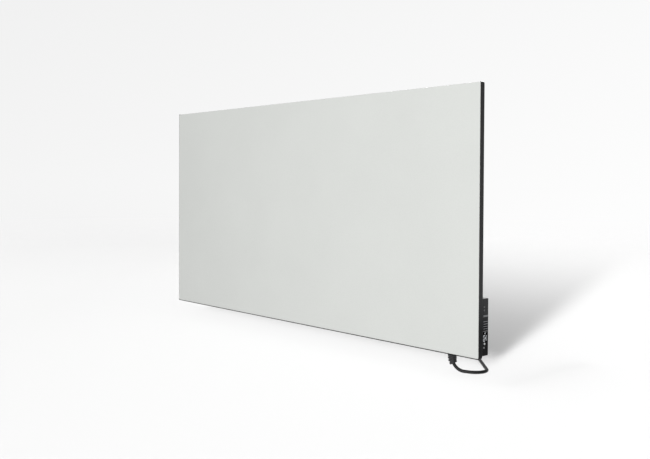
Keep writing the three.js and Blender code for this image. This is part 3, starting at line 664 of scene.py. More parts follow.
def cord_points(step=3.0):
    pts = []
    l1, l2 = R1 * T1, R2 * (math.pi / 2 - T1)
    n = int((l2 + 2) / step)
    for i in range(n + 1):
        p, _ = drop(l1 - 2 + (l2 + 2) * i / n)
        pts.append(p)
    u0 = R1 * (1 - math.cos(T1)) + R2 * math.cos(T1)
    x, y, a = GLAND_X + u0 * HX, GLAND_Y + u0 * HY, HEAD

    def go(length, turn):
        nonlocal x, y, a
        m = max(1, round(length / step))
        for _ in range(m):
            a += turn / m / 2
            x += length / m * math.cos(a)
            y += length / m * math.sin(a)
            a += turn / m / 2
            pts.append((x, y, CORD_Z))

    go(11, 0)
    turn1 = math.radians(118)
    go(30 * turn1, turn1)
    turn2 = math.pi - HEAD - turn1
    left = (HANK_Y - 30.2 - y - 45 * (1 - math.cos(turn2))) / math.sin(a)
    go(left, 0)
    go(45 * turn2, turn2)
    go(x - (HANK_X + HANK_HALF), 0)

    cx, cy, hh = HANK_X, HANK_Y, HANK_HALF
    up = 6.5

    def lift(px):
        return 1.25 * math.exp(-(((px - cx) / 26.0) ** 2))

    def side(sign, heading, r, w, z0, z1, part=(0.0, 1.0)):
        m = round(2 * hh * (part[1] - part[0]) / step)
        for i in range(1, m + 1):
            f = part[0] + (part[1] - part[0]) * i / m
            px = cx - hh + 2 * hh * f if heading > 0 else cx + hh - 2 * hh * f
            prof = r - (r - w) * math.cos(math.pi * (px - cx) / (2 * hh)) ** 2
            z = z0 + (z1 - z0) * ease(i / m)
            pts.append((px, cy + sign * prof, z + lift(px)))

    def end(where, r0, r1, z0, z1):
        m = round(math.pi * (r0 + r1) / 2 / step)
        for i in range(1, m + 1):
            f = i / m
            r = r0 + (r1 - r0) * ease(f)
            phi = math.radians(-90 - 180 * f) if where < 0 else math.radians(90 - 180 * f)
            pts.append((cx + where * hh + r * math.cos(phi), cy + r * math.sin(phi), z0 + (z1 - z0) * ease(f)))

    z = CORD_Z
    side(-1, -1, 30.2, 11.55, z, z)
    end(-1, 30.2, 30.2, z, z)
    side(1, 1, 30.2, 11.55, z, z)
    end(1, 30.2, 22.6, z, z)
    side(-1, -1, 22.6, 3.85, z, z)
    end(-1, 22.6, 22.6, z, z)
    side(1, 1, 22.6, 3.85, z, z, (0.0, 0.45))
    side(1, 1, 22.6, 3.85, z, z + 4.2, (0.45, 1.0))
    end(1, 22.6, 26.4, z + 4.2, z + up)
    # last run, on top of the two below it, rising to the plug's axis beyond the turn
    m = round((2 * hh + 27) / step)
    x_end = PLUG_X - 2.5
    for i in range(1, m + 1):
        px = cx + hh + (x_end - cx - hh) * i / m
        c = math.cos(math.pi * (px - cx) / (2 * hh)) ** 2 if px > cx - hh else 0.0
        prof = 26.4 - (26.4 - 7.7) * c
        rise = ease((cx - 22 - px) / (cx - 22 - PLUG_X - 4))
        pts.append((px, cy - prof, z + up + lift(px) + (PLUG_Z - z - up) * rise))
    return pts


CORD = cord_points()
cord_curve = bpy.data.curves.new("mains_cord", "CURVE")
cord_curve.dimensions = "3D"
cord_curve.bevel_depth = CORD_D / 2000.0 - 0.00001
cord_curve.bevel_resolution = 6
cord_curve.use_fill_caps = True
cord_curve.twist_mode = "MINIMUM"
_sp = cord_curve.splines.new("POLY")
_sp.points.add(len(CORD) - 1)
for _k, _p in enumerate(CORD):
    _sp.points[_k].co = (*at(*_p), 1)
    _sp.points[_k].radius = 1.0
_sp.use_smooth = True
cord_curve.materials.append(M["cord"])
cord = link(bpy.data.objects.new("mains_cord", cord_curve))
CORD_LENGTH = sum((Vector(a) - Vector(b)).length for a, b in zip(CORD, CORD[1:]))
print("cord centre line, mm:", round(CORD_LENGTH, 1))


# ------------------------------------------------------------------ tile
def make_tile():
    def ring(y, i):
        return tray_ring(y, 1.1 + i, 1.9 + i, 2.2, top=0.9 + i, r_top=3.2)

    ob = loft("porcelain_tile", [ring(0, 0.7), ring(0.1, 0.42), ring(0.28, 0.2), ring(0.5, 0.07), ring(0.75, 0), ring(2.4, 0), ring(6, 1)], M["tile"])
    show(ob, "tile", "ceramic_panel", angle=40)


# ------------------------------------------------------------------ tray
def tray_ring(y, side, foot, r, n=6, top=None, r_top=None):
    top, q = side if top is None else top, r if r_top is None else r_top
    x, z0, z1 = W / 2 - side, foot, H - top
    out = []
    for cx, cz, rc, a0 in ((x - r, z0 + r, r, -90), (x - q, z1 - q, q, 0), (-x + q, z1 - q, q, 90), (-x + r, z0 + r, r, 180)):
        out += [(u, y, v) for u, v in arc(cx, cz, rc, a0, a0 + 90, n)]
    return out


def make_tray():
    def profile(t):
        rs, rf = R_EDGE - t, R_FOOT - t
        ys = [DEPTH - R_FOOT, 9.4, 10.3, 11.2, DEPTH - R_EDGE]
        ys += [DEPTH - R_EDGE + rs * math.sin(math.pi / 2 * i / 8) for i in range(1, 9)]
        out = []
        for y in ys:
            ds, df = max(0.0, y - (DEPTH - R_EDGE)), max(0.0, y - (DEPTH - R_FOOT))
            out.append((y, t + rs - math.sqrt(max(0, rs * rs - ds * ds)), t + rf - math.sqrt(max(0, rf * rf - df * df))))
        return out

    outer, inner = profile(0), profile(SHEET)
    rings = [tray_ring(y, s, f, R_CORNER) for y, s, f in reversed(outer)]
    rings += [tray_ring(0.7, 0, 0, R_CORNER), tray_ring(0.5, 0.06, 0.06, 2.94), tray_ring(RIM_Y, 0.22, 0.22, 2.78)]
    rings += [tray_ring(RIM_Y, 0.58, 0.58, 2.42), tray_ring(0.5, 0.74, 0.74, 2.26), tray_ring(0.7, SHEET, SHEET, 2.2)]
    rings += [tray_ring(y, s, f, 2.2) for y, s, f in inner]
    ob = loft("steel_tray", rings, M["tray"])
    cutters = []
    for i in range(14):
        cutters.append(prism("c", slot_outline(-546 + i * 84, 568, 60, 3.6), "Y", 14, 18, M["tray"]))
    for i in range(12):
        cutters.append(prism("c", slot_outline(-546 + i * 84, 44, 60, 3.6), "Y", 14, 18, M["tray"]))
    cutters.append(prism("c", slot_outline(493, 70, 18, 7.6, True), "Y", 14, 18, M["tray"]))
    # the top flange starts behind the tile
    cutters.append(block("c", -597, 597, -1, 6.3, 598, 601, M["tray"]))
    slots = joined("slots", cutters)
    cut(ob, slots)
    # long shallow beads pressed into the back sheet
    beads = []
    big = 20.5
    for x0, x1, z in ((-330, 330, 470), (-520, 330, 300), (-330, 330, 150)):
        deep = []
        for k in range(13):
            t = math.pi / 2 * k / 12
            deep.append((big - 0.85 * (1 - math.sin(t)), 5.5 * (1 - math.cos(t))))
        prof = [(0, x0 - 0.5), (big - 1.2, x0 - 0.5)] + [(r, x0 + d) for r, d in deep] + [(r, x1 - d) for r, d in reversed(deep)] + [(big - 1.2, x1 + 0.5), (0, x1 + 0.5)]
        beads.append(lathe("b", prof, "X", (0, DEPTH - 0.85 + big, z), M["tray"], 96))
    cut(ob, joined("beads", beads))
    show(ob, "tray", "casing_tray", angle=28, flat=True)


make_tile()
make_tray()


# ------------------------------------------------------------------ thermostat box
BOSSES = ((492.7, 12.7), (492.7, 124.3), (579.0, 12.7), (579.0, 124.3))


def box_outline(x0, x1, z0, z1, r, n=8):
    return [(x1, z0), (x1, z1)] + arc(x0 + r, z1 - r, r, 90, 180, n) + arc(x0 + r, z0 + r, r, 180, 270, n)


def make_box():
    tub = prism("thermostat_tub", box_outline(BOX_X0, BOX_X1, BOX_Z0, BOX_Z1, 4), "Y", BOX_Y0, 32.3, M["box"])
    bevelled(tub, 0.7, 3)
    hollow = prism("c", box_outline(BOX_X0 + 2.2, BOX_X1 + 5, BOX_Z0 + 2.2, BOX_Z1 - 2.2, 1.8), "Y", BOX_Y0 + 1.6, 40, M["box"])
    gland = lathe("c", [(0, 4), (5.8, 4), (5.8, 12), (0, 12)], "Z", (GLAND_X, GLAND_Y, 0), M["box"], 40)
    wires = prism("c", slot_outline(493, 70, 16, 7, True), "Y", 15, 19, M["box"])
    vents = [prism("c", rounded(512 + i * 9, 515.2 + i * 9, 21, 30.5, 1.2, 4), "Z", 128, 134, M["box"]) for i in range(6)]
    vents += [prism("c", rounded(526 + i * 9, 529.2 + i * 9, 21, 30.5, 1.2, 4), "Z", 4, 9.5, M["box"]) for i in range(5)]
    cut(tub, hollow)
    cut(tub, joined("c2", [gland, wires, *vents]))
    posts = [lathe("p", [(1.6, 20.5), (1.6, 32.0), (1.9, 32.3), (3.5, 32.3), (3.5, 18.3), (0, 18.3), (0, 20.5), (1.6, 20.5)], "Y", (x, 0, z), M["box"], 28) for x, z in BOSSES]
    posts += [lathe("p", [(0, 18.3), (2.4, 18.3), (2.4, 19.2), (2.1, 19.5), (0, 19.5)], "Y", (x, 0, z), M["box"], 20) for x, z in ((503, 48), (503, 112), (570, 30), (570, 112))]
    show(joined("thermostat_tub", [tub, *posts]), "box", "control_housing", flat=True)

    holes = [slot_outline(536, 84 + i * 5.4, 40, 2.2) for i in range(7)]
    holes += [circle(x, z, 3.2, 32) for x, z in BOSSES]
    cover = plate("thermostat_cover", box_outline(BOX_X0, BOX_X1, BOX_Z0, BOX_Z1, 4), holes, "Y", 32.6, BOX_Y1, M["box"], 0.55, 3)
    seats = [lathe("s", [(1.7, 32.6), (1.7, 33.5), (3.3, 33.5), (3.3, 32.6), (1.7, 32.6)], "Y", (x, 0, z), M["box"], 32) for x, z in BOSSES]
    show(joined("thermostat_cover", [cover, *seats]), "box", "control_rear_cover", flat=True)


def screw(name, x, z, tip, seat, head, r, rh, cross, mat):
    t = 0.6
    prof = [(0, tip), (r * 0.35, tip + 0.3), (r, tip + 2.2)]
    y, k = tip + 2.2, 0
    while y + t < seat - 1.0:
        y += t / 2
        prof.append((r * (0.82 if k % 2 == 0 else 1.0), y))
        k += 1
    prof += [(r, seat), (rh * 0.94, seat), (rh, seat + 0.25), (rh, head - 0.75), (rh * 0.93, head - 0.35), (rh * 0.72, head - 0.1), (rh * 0.4, head), (0, head)]
    ob = lathe(name, prof, "Y", (x, 0, z), mat, 36)
    w = cross * 0.19
    star = [(w, w), (cross, w * 0.7), (cross, -w * 0.7), (w, -w), (w * 0.7, -cross), (-w * 0.7, -cross), (-w, -w), (-cross, -w * 0.7), (-cross, w * 0.7), (-w, w), (-w * 0.7, cross), (w * 0.7, cross)]
    ca, sa = math.cos(0.4), math.sin(0.4)
    star = [(x + a * ca - b * sa, z + a * sa + b * ca) for a, b in star]
    cut(ob, prism("c", star, "Y", head - 0.85, head + 1, mat))
    return ob


make_box()
for _i, (_x, _z) in enumerate(BOSSES):
    show(screw(f"cover_screw_head_{_i + 1}", _x, _z, 22.5, BOX_Y1 - 1.2, BOX_Y1 - 0.05, 1.3, 2.75, 1.55, M["dark_screw"]), "black_screw", f"cover_screw_{_i + 1}")

BUTTONS = (("up", 21.2, 112.8), ("down", 21.2, 105.6), ("set", 23.0, 32.4), ("power", 21.2, 24.0))
SLOT_ZS = (62.4, 67.6, 72.8, 78.0)


def make_fascia():
    holes = [slot_outline(25.9, z, 13.4, 1.8) for z in SLOT_ZS]
    holes.append(rounded(17.9, 34.0, 90.4, 95.0, 0.6, 3))
    holes.append(rounded(18.3, 32.5, 36.4, 58.4, 1.0, 4))
    for name, y, z in BUTTONS:
        holes.append(diamond(y, z, 3.0) if name == "set" else circle(y, z, 2.4, 32))
    f = plate("thermostat_fascia", rounded(BOX_Y0, BOX_Y1, BOX_Z0, BOX_Z1, 1.1, 8), holes, "X", FASCIA_X0, FASCIA_X1, M["fascia"], 0.32, 3)
    parts = [f]
    # the raised vent ribs take the light grey: painted highlight on their edges
    for z in [v - 2.6 for v in SLOT_ZS] + [80.6]:
        parts.append(plate("r", rounded(18.6, 33.2, z - 0.9, z + 0.9, 0.85, 4), [], "X", FASCIA_X1 - 0.35, FASCIA_X1 + 0.5, M["rib"], 0.3, 2))
    # the two snap legs
    for z0, z1 in ((8.9, 10.3), (127.0, 128.4)):
        parts.append(block("r", 590.4, 596.0, 23, 29, z0, z1, M["fascia"]))
    show(joined("thermostat_fascia", parts), "fascia", "control_fascia", flat=True)

    bar = plate("light_bar", rounded(18.2, 33.7, 90.7, 94.7, 0.5, 4), [], "X", FASCIA_X0 + 0.1, FASCIA_X1 + 0.25, M["bar"], 0.45, 3)
    show(bar, "light_bar", "status_light_bar")

    glass = plate("display_lens", rounded(18.6, 32.2, 36.7, 58.1, 0.8, 5), [], "X", FASCIA_X0 + 0.1, FASCIA_X1 - 0.15, M["display"], 0.15, 2)
    parts = [glass]
    face = FASCIA_X1 - 0.15

    def seg(pts):
        parts.append(prism("g", pts, "X", face - 0.03, face + 0.02, M["digit"]))

    # two seven-segment figures, lying on their side: tops towards the wall
    def figure(z_top, lit, high=10.2, wide=5.6, t=1.1):
        y0 = 19.25

        def bar_(u0, v0, u1, v1):  # u across the figure, v up it
            ends = []
            d = Vector((u1 - u0, v1 - v0)).normalized()
            n = Vector((-d.y, d.x)) * t / 2
            a, b = Vector((u0, v0)) + d * 0.25, Vector((u1, v1)) - d * 0.25
            for p in (a, a + d * t / 2 + n, b - d * t / 2 + n, b, b - d * t / 2 - n, a + d * t / 2 - n):
                ends.append((y0 + p.y, z_top - p.x))
            seg(ends)

        h = high / 2
        strokes = {
            "a": (0, high, wide, high), "b": (wide, h, wide, high), "c": (wide, 0, wide, h), "d": (0, 0, wide, 0),
            "e": (0, 0, 0, h), "f": (0, h, 0, high), "g": (0, h, wide, h),
        }
        for s in lit:
            bar_(*strokes[s])

    figure(51.1, "abged")
    figure(43.4, "afgecd")
    # an arrow head above the figures: heat is on
    for up in (-1, 1):
        seg([(22.2, 55.3), (23.8, 55.3), (28.6, 55.3 + up * 2.3), (27.0, 55.3 + up * 2.3)])
    show(joined("display_lens", parts), "display", "display_window")


make_fascia()


def make_buttons():
    for name, y, z in BUTTONS:
        body = f"button_{name}_body"
        # the set key's cap and stem are both in the faintly glowing white: painted light
        if name == "set":
            cap = plate("k", diamond(y, z, 2.7), [], "X", 595.2, FASCIA_X1 + 0.7, M["white"], 0.3, 3)
        else:
            top = FASCIA_X1 + 0.7
            cap = lathe("k", [(0, 595.2), (2.05, 595.2), (2.05, top - 0.45), (1.97, top - 0.2), (1.75, top - 0.04), (1.5, top), (0.9, top - 0.1), (0, top - 0.14)], "X", (0, y, z), M["button_low" if name == "power" else "button"], 36)
        mat = {"set": M["white"], "power": M["button_low"]}.get(name, M["button"])
        stem = lathe("k", [(0, 592.4), (1.0, 592.4), (1.2, 592.6), (1.2, 594.5), (2.55, 594.5), (2.7, 594.65), (2.7, 595.2), (2.55, 595.35), (0, 595.35)], "X", (0, y, z), mat, 28)
        show(joined(f"key_{name}", [cap, stem]), "button_white" if name == "set" else "button", f"button_{name}", body=body)


make_buttons()


# ------------------------------------------------------------------ strain relief
def make_relief():
    n = 36
    rings = []

    def ring(s, r, dip=0.0):
        """dip is a groove's depth; it runs out into a web on the side of the bend."""
        (x, y, z), t = drop(s)
        a = Vector((HX * math.cos(t), HY * math.cos(t), math.sin(t)))
        b = Vector((-HY, HX, 0))
        pts = []
        for i in range(n):
            phi = 2 * math.pi * i / n
            q = r - dip * (1 - 0.8 * ease((math.cos(phi) - 0.3) / 0.5))
            pts.append(tuple(Vector((x, y, z)) + a * (q * math.cos(phi)) + b * (q * math.sin(phi))))
        rings.append(pts)

    def s_at(z):
        return BEND_Z - z

    ring(s_at(10.4), 4.0)
    ring(s_at(10.4), 5.4)
    ring(s_at(10.2), 5.65)
    ring(s_at(8.9), 6.1)
    ring(s_at(8.5), 6.1)
    ring(s_at(8.5), 5.4)
    ring(s_at(5.7), 5.4)
    ring(s_at(5.7), 9.6)
    ring(s_at(5.5), 9.95)
    ring(s_at(5.2), 10.1)
    ring(s_at(3.2), 10.1)
    s0, s1, k = s_at(2.6), RELIEF_L - 1.2, 5
    p = (s1 - s0) / k
    for i in range(k):
        a = s0 + p * i
        r = 10.3 - 1.9 * ((i + 0.5) / k) ** 3.3
        ring(a, r)
        ring(a + 0.05 * p, r, 0.35)
        ring(a + 0.1 * p, r, 1.6)
        ring(a + 0.14 * p, r, 1.75)
        ring(a + 0.36 * p, r, 1.75)
        ring(a + 0.4 * p, r, 1.6)
        ring(a + 0.46 * p, r, 0.35)
        ring(a + 0.54 * p, r - 0.02)
        ring(a + 0.8 * p, r)
    ring(RELIEF_L - 0.5, 8.3)
    ring(RELIEF_L - 0.1, 7.8)
    ring(RELIEF_L, 7.0)
    ring(RELIEF_L, 4.15)
    ring(RELIEF_L - 0.3, 3.9)
    ring(RELIEF_L - 3.0, 3.85)
    ob = loft("cord_relief", rings, M["relief"])
    show(ob, "cord", "strain_relief", angle=50)
    return ob


relief = make_relief()


# ------------------------------------------------------------------ tie and plug
def hull(points):
    pts = sorted(set((round(a, 4), round(b, 4)) for a, b in points))

    def half(seq):
        out = []
        for p in seq:
            while len(out) > 1 and (out[-1][0] - out[-2][0]) * (p[1] - out[-2][1]) - (out[-1][1] - out[-2][1]) * (p[0] - out[-2][0]) <= 0:
                out.pop()
            out.append(p)
        return out

    lo, hi = half(pts), half(reversed(pts))
    return lo[:-1] + hi[:-1]


def make_tie():
    z = CORD_Z + 1.25
    strands = [(HANK_Y + s, z) for s in (-11.55, -3.85, 3.85, 11.55)] + [(HANK_Y - 7.7, z + 6.5)]

    def loop(r):
        pts = []
        for y, zz in strands:
            pts += [(y + r * math.cos(2 * math.pi * i / 48), max(FLOOR_Z + 0.05, zz + r * math.sin(2 * math.pi * i / 48))) for i in range(48)]
        return hull(pts)

    band = plate("strap", loop(4.87), [loop(3.87)], "X", HANK_X - 4.2, HANK_X + 4.2, M["strap"], 0.25, 2)
    # the overlapping end, lying on the band from its top down the side towards the wall
    path = [p for p in loop(5.0)]
    top = max(range(len(path)), key=lambda i: path[i][1])
    run = [path[(top - k) % len(path)] for k in range(0, 34)]
    run = run[:next((i for i, p in enumerate(run) if p[1] < FLOOR_Z + 3.2), len(run))]
    inner = [Vector(p) for p in run]
    rings = []
    for i, p in enumerate(inner):
        d = (inner[min(i + 1, len(inner) - 1)] - inner[max(i - 1, 0)]).normalized()
        nrm = Vector((-d.y, d.x))
        if nrm.dot(p - Vector((HANK_Y, z + 2))) < 0:
            nrm = -nrm
        wv = 3.6 if i < len(inner) - 3 else 3.6 - 0.9 * (i - (len(inner) - 4))
        q = p + nrm * (0.95 if i < len(inner) - 1 else 0.5)
        rings.append([(HANK_X - wv, p.x, p.y), (HANK_X + wv, p.x, p.y), (HANK_X + wv, q.x, q.y), (HANK_X - wv, q.x, q.y)])
    flap = loft("flap", rings, M["strap"])
    ob = joined("cord_strap", [band, flap])
    show(ob, "plug", "cord_tie", angle=40)
    return ob


def make_plug():
    x = PLUG_X
    prof = [(0, x - 3), (3.9, x - 3), (3.95, x - 0.2), (4.3, x), (4.6, x - 0.15), (4.85, x - 0.6)]
    for i in range(5):  # ribbed boot
        a = x - 1.2 - i * 2.7
        r = 4.85 + i * 0.16
        prof += [(r, a), (r, a - 1.25), (r - 0.75, a - 1.5), (r - 0.75, a - 2.3), (r + 0.12, a - 2.6)]
    prof += [(5.9, x - 15), (7.0, x - 15.8), (9.0, x - 17.6), (10.8, x - 20.2), (11.9, x - 23), (12.5, x - 26.5), (13.1, x - 30),
             (13.8, x - 32.2), (15.0, x - 34.6), (16.8, x - 37), (18.0, x - 39.2), (18.6, x - 41.2), (18.7, x - 42.4),
             (18.7, x - 44.6), (18.45, x - 44.9), (18.45, x - 45.5), (18.7, x - 45.8), (18.7, x - 54.8), (18.55, x - 55.5), (18.1, x - 56), (17.2, x - 56),
             (16.9, x - 55.4), (15.6, x - 55.4), (15.3, x - 56), (0, x - 56)]
    body = lathe("plug", prof, "X", (0, PLUG_Y, PLUG_Z), M["plug"], 72)
    # finger grips: the shoulder pulled in on two sides
    for v in body.data.vertices:
        px = v.co.x * 1000.0
        dx = x - px
        if 18 < dx < 42:
            k = math.sin(math.pi * (dx - 18) / 24)
            y = v.co.y * 1000.0 + WALL_Y - PLUG_Y
            v.co.y = (PLUG_Y - WALL_Y + y * (1 - 0.2 * k)) / 1000.0
    tools = []
    for s in (-1, 1):
        tools.append(prism("c", rounded(PLUG_Y - 2.9, PLUG_Y + 2.9, PLUG_Z + s * 18.4 - 2.4, PLUG_Z + s * 18.4 + 2.4, 0.4, 3), "X", x - 60, x - 43.2, M["plug"]))
    tools.append(lathe("c", [(0, x - 60), (2.9, x - 60), (2.9, x - 40), (0, x - 40)], "X", (0, PLUG_Y, PLUG_Z + 10), M["plug"], 28))
    cut(body, joined("c2", tools))
    collars = [lathe("k", [(0, x - 55.8), (4.2, x - 55.8), (4.2, x - 56.15), (3.9, x - 56.3), (0, x - 56.3)], "X", (0, PLUG_Y + d, PLUG_Z), M["plug"], 32) for d in (-9.5, 9.5)]
    grips = []
    for s in (-1, 1):
        for i in range(4):
            dx = 22.5 + i * 3.4
            r = 12.4 if dx < 31 else 14.6
            k = math.sin(math.pi * (dx - 18) / 24)
            yy = PLUG_Y + s * (r * (1 - 0.2 * k) - 0.35)
            grips.append(plate("g", rounded(yy - 0.55, yy + 0.55, PLUG_Z - 6, PLUG_Z + 6, 0.5, 3), [], "X", x - dx - 0.6, x - dx + 0.6, M["plug"], 0.25, 2))
    ob = show(joined("plug_moulding", [body, *collars, *grips]), "plug", "plug_body", angle=38)
    clips = []
    for s in (-1, 1):
        y0, y1 = PLUG_Y - 2.1, PLUG_Y + 2.1
        line = [(x - 55.0, 16.6), (x - 54.2, 17.3), (x - 52.0, 17.75), (x - 48.5, 18.0), (x - 46.0, 17.6), (x - 44.2, 16.7)]
        rings = []
        for px, r in line:
            zz = PLUG_Z + s * r
            rings.append([(px, y0, zz), (px, y1, zz), (px, y1, zz - s * 0.6), (px, y0, zz - s * 0.6)])
        clips.append(loft("k", rings, M["pin"]))
    clip = show(joined("plug_earth_clips", clips), "pin", angle=40)
    pins = []
    for name, d in (("left", 9.5), ("right", -9.5)):
        p = lathe(f"plug_prong_{name}", [(0, x - 56.45), (2.4, x - 56.45), (2.4, x - 73.2), (2.3, x - 74.0), (2.0, x - 74.8), (1.4, x - 75.3), (0.6, x - 75.5), (0, x - 75.5)], "X", (0, PLUG_Y + d, PLUG_Z), M["pin"], 32)
        pins.append(show(p, "pin", f"plug_pin_{name}", angle=50))
    return [ob, clip, *pins]


tie = make_tie()
plug = make_plug()
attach(cord, BODY)
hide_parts("cord_run", "cord_hank")
at(*drop(RELIEF_L)[0])


# ------------------------------------------------------------------ hangers, rivets, bumpers
def strip_outline(cx, t=1.5):
    """The hanger's section as an outline in (x, y): feet, two slanted legs with rounded bends, a plate."""
    f, p = DEPTH + 0.3 + t / 2, WALL_Y - t / 2
    r = 1.9
    ang = math.degrees(math.atan2(p - f, 4.4))
    line = [(-41.0, f)]
    # foot to leg
    tl = r * math.tan(math.radians(ang / 2))
    kx0 = -26.4
    line += arc(kx0 - tl, f + r, r, -90, -90 + ang, 6)
    kx1 = kx0 + (p - f) / math.tan(math.radians(ang))
    line += arc(kx1 + tl, p - r, r, 90 + ang, 90, 6)
    line += [(-x, y) for x, y in reversed(line)]
    left, right = [], []
    for i, (x, y) in enumerate(line):
        a, b = Vector(line[max(0, i - 1)]), Vector(line[min(len(line) - 1, i + 1)])
        d = (b - a).normalized()
        nx, ny = -d.y * t / 2, d.x * t / 2
        left.append((cx + x + nx, y + ny))
        right.append((cx + x - nx, y - ny))
    return left + right[::-1]


def make_hanger(name, cx):
    ob = prism(f"hanger_plate_{name}", strip_outline(cx), "Z", 490, 550, M["hanger"])
    key = arc(cx, HANG_Z, 2.8, 0, 180, 14) + arc(cx, HANG_Z - 17, 5.3, 180 - math.degrees(1.014), 360 + math.degrees(1.014), 30)
    tools = [prism("c", key, "Y", WALL_Y - 4, WALL_Y + 2, M["hanger"])]
    for dx in (-34, 34):
        for z in (504, 536):
            tools.append(lathe("c", [(0, 15), (2.1, 15), (2.1, 20), (0, 20)], "Y", (cx + dx, 0, z), M["hanger"], 24))
    # corners of the feet are cut round
    for sx in (-1, 1):
        for sz in (-1, 1):
            ex, ez, r = cx + sx * 41, 520 + sz * 30, 4.0
            a0 = {(1, 1): 0, (-1, 1): 90, (-1, -1): 180, (1, -1): 270}[(sx, sz)]
            corner = [(ex + sx * 1, ez + sz * 1), (ex + sx * 1, ez - sz * r), *arc(ex - sx * r, ez - sz * r, r, a0, a0 + 90, 6)[:: 1 if sx * sz > 0 else -1], (ex - sx * r, ez + sz * 1)]
            tools.append(prism("c", corner, "Y", 15, 20, M["hanger"]))
    cut(ob, joined("c2", tools))
    bevelled(ob, 0.22, 2, 40)
    show(ob, "hanger", f"hanger_{name}", angle=30)


def make_rivet(i, x, z):
    prof = [(0, 14.3), (2.3, 14.3), (2.6, 14.6), (2.6, 15.4), (1.6, 15.4), (1.6, 18.6), (3.6, 18.6), (3.7, 18.75), (3.62, 19.05), (3.2, 19.45), (2.5, 19.75), (1.7, 19.93), (1.15, 20.0), (1.1, 19.55), (0, 19.45)]
    show(lathe(f"rivet_{i}", prof, "Y", (x, 0, z), M["rivet"], 32), "rivet", f"hanger_rivet_{i}", angle=42)


def make_bumper(name, cx):
    z = 84
    prof = [(2.2, DEPTH + 0.3), (12.5, DEPTH + 0.3), (12.9, DEPTH + 0.6), (13.0, DEPTH + 1.4), (12.6, DEPTH + 2.4)]
    prof += [(12.3 - 1.4 * (k / 8) ** 1.1, DEPTH + 2.8 + 16.2 * k / 8) for k in range(9)]
    prof += [(10.7, WALL_Y - 1.4), (10.45, WALL_Y - 0.6), (10.0, WALL_Y - 0.15), (9.5, WALL_Y), (5.0, WALL_Y), (4.6, WALL_Y - 0.3), (4.4, WALL_Y - 1), (4.4, WALL_Y - 9), (2.2, WALL_Y - 9), (2.2, DEPTH + 0.3)]
    show(lathe(f"bumper_{name}", prof, "Y", (cx, 0, z), M["bumper"], 56), "bumper", f"wall_bumper_{name}", angle=45)
    show(screw(f"bumper_bolt_{name}", cx, z, 13.9, WALL_Y - 8.7, WALL_Y - 5.6, 1.8, 3.9, 2.3, M["screw"]), "screw", f"bumper_screw_{name}", angle=40)


_k = 0
for _sx in (-1, 1):
    for _dx in (-34, 34):
        for _z in (504, 536):
            _k += 1
            make_rivet(_k, _sx * HANG_X + _dx, _z)
for _name, _cx in (("left", -HANG_X), ("right", HANG_X)):
    make_hanger(_name, _cx)
    make_bumper(_name, _cx)


# ------------------------------------------------------------------ what stays inside keeps its CAD solid
INSIDE = {
    "perimeter_gasket": "gasket", "heating_conductor": "ribbon", "mica_sheet": "mica", "insulation_board": "fibre", "reflector_foil": "foil",
    "control_heat_pad": "fibre", "thermal_cutout": "switch", "temperature_sensor": "sensor", "display_module": "switch", "display_board": "board",
    "power_board": "board", "relay": "relay", "supply_capacitor": "capacitor", "terminal_block": "terminal", "core_live": "live",
    "core_neutral": "neutral", "core_earth": "earth", "lead_live": "sleeve", "lead_neutral": "sleeve", "sensor_lead": "sensor_lead",
    "tact_switch_up": "switch", "tact_switch_down": "switch", "tact_switch_set": "switch", "tact_switch_power": "switch",
}
for _n, _m in INSIDE.items():
    o = NODES[_n]
    o.data.materials.clear()
    o.data.materials.append(M[_m])


# ------------------------------------------------------------------ stage and lights
ACROSS = Vector((0.6705, 0.7419, 0))  # from the darker left side of the studio to its brighter right side
AMBIENT = 0.49
FLOOR_ALBEDO, FLOOR_GLOW = 0.3, 0.296


def dotted(t, vector, fixed):
    n = t.nodes.new("ShaderNodeVectorMath")
    n.operation = "DOT_PRODUCT"
    n.inputs[1].default_value = fixed
    t.links.new(vector, n.inputs[0])
    return n.outputs["Value"]


def ranged(t, value, a, b, lo, hi, smooth=False):
    n = t.nodes.new("ShaderNodeMapRange")
    n.interpolation_type = "SMOOTHSTEP" if smooth else "LINEAR"
    for k, v in (("From Min", a), ("From Max", b), ("To Min", lo), ("To Max", hi)):
        n.inputs[k].default_value = v
    t.links.new(value, n.inputs["Value"])
    return n.outputs[0]


def backdrop_level(t, direction):
    """Brightness of the far backdrop in a direction."""
    return ranged(t, dotted(t, direction, ACROSS), -0.38, 0.38, 0.908, 0.982)


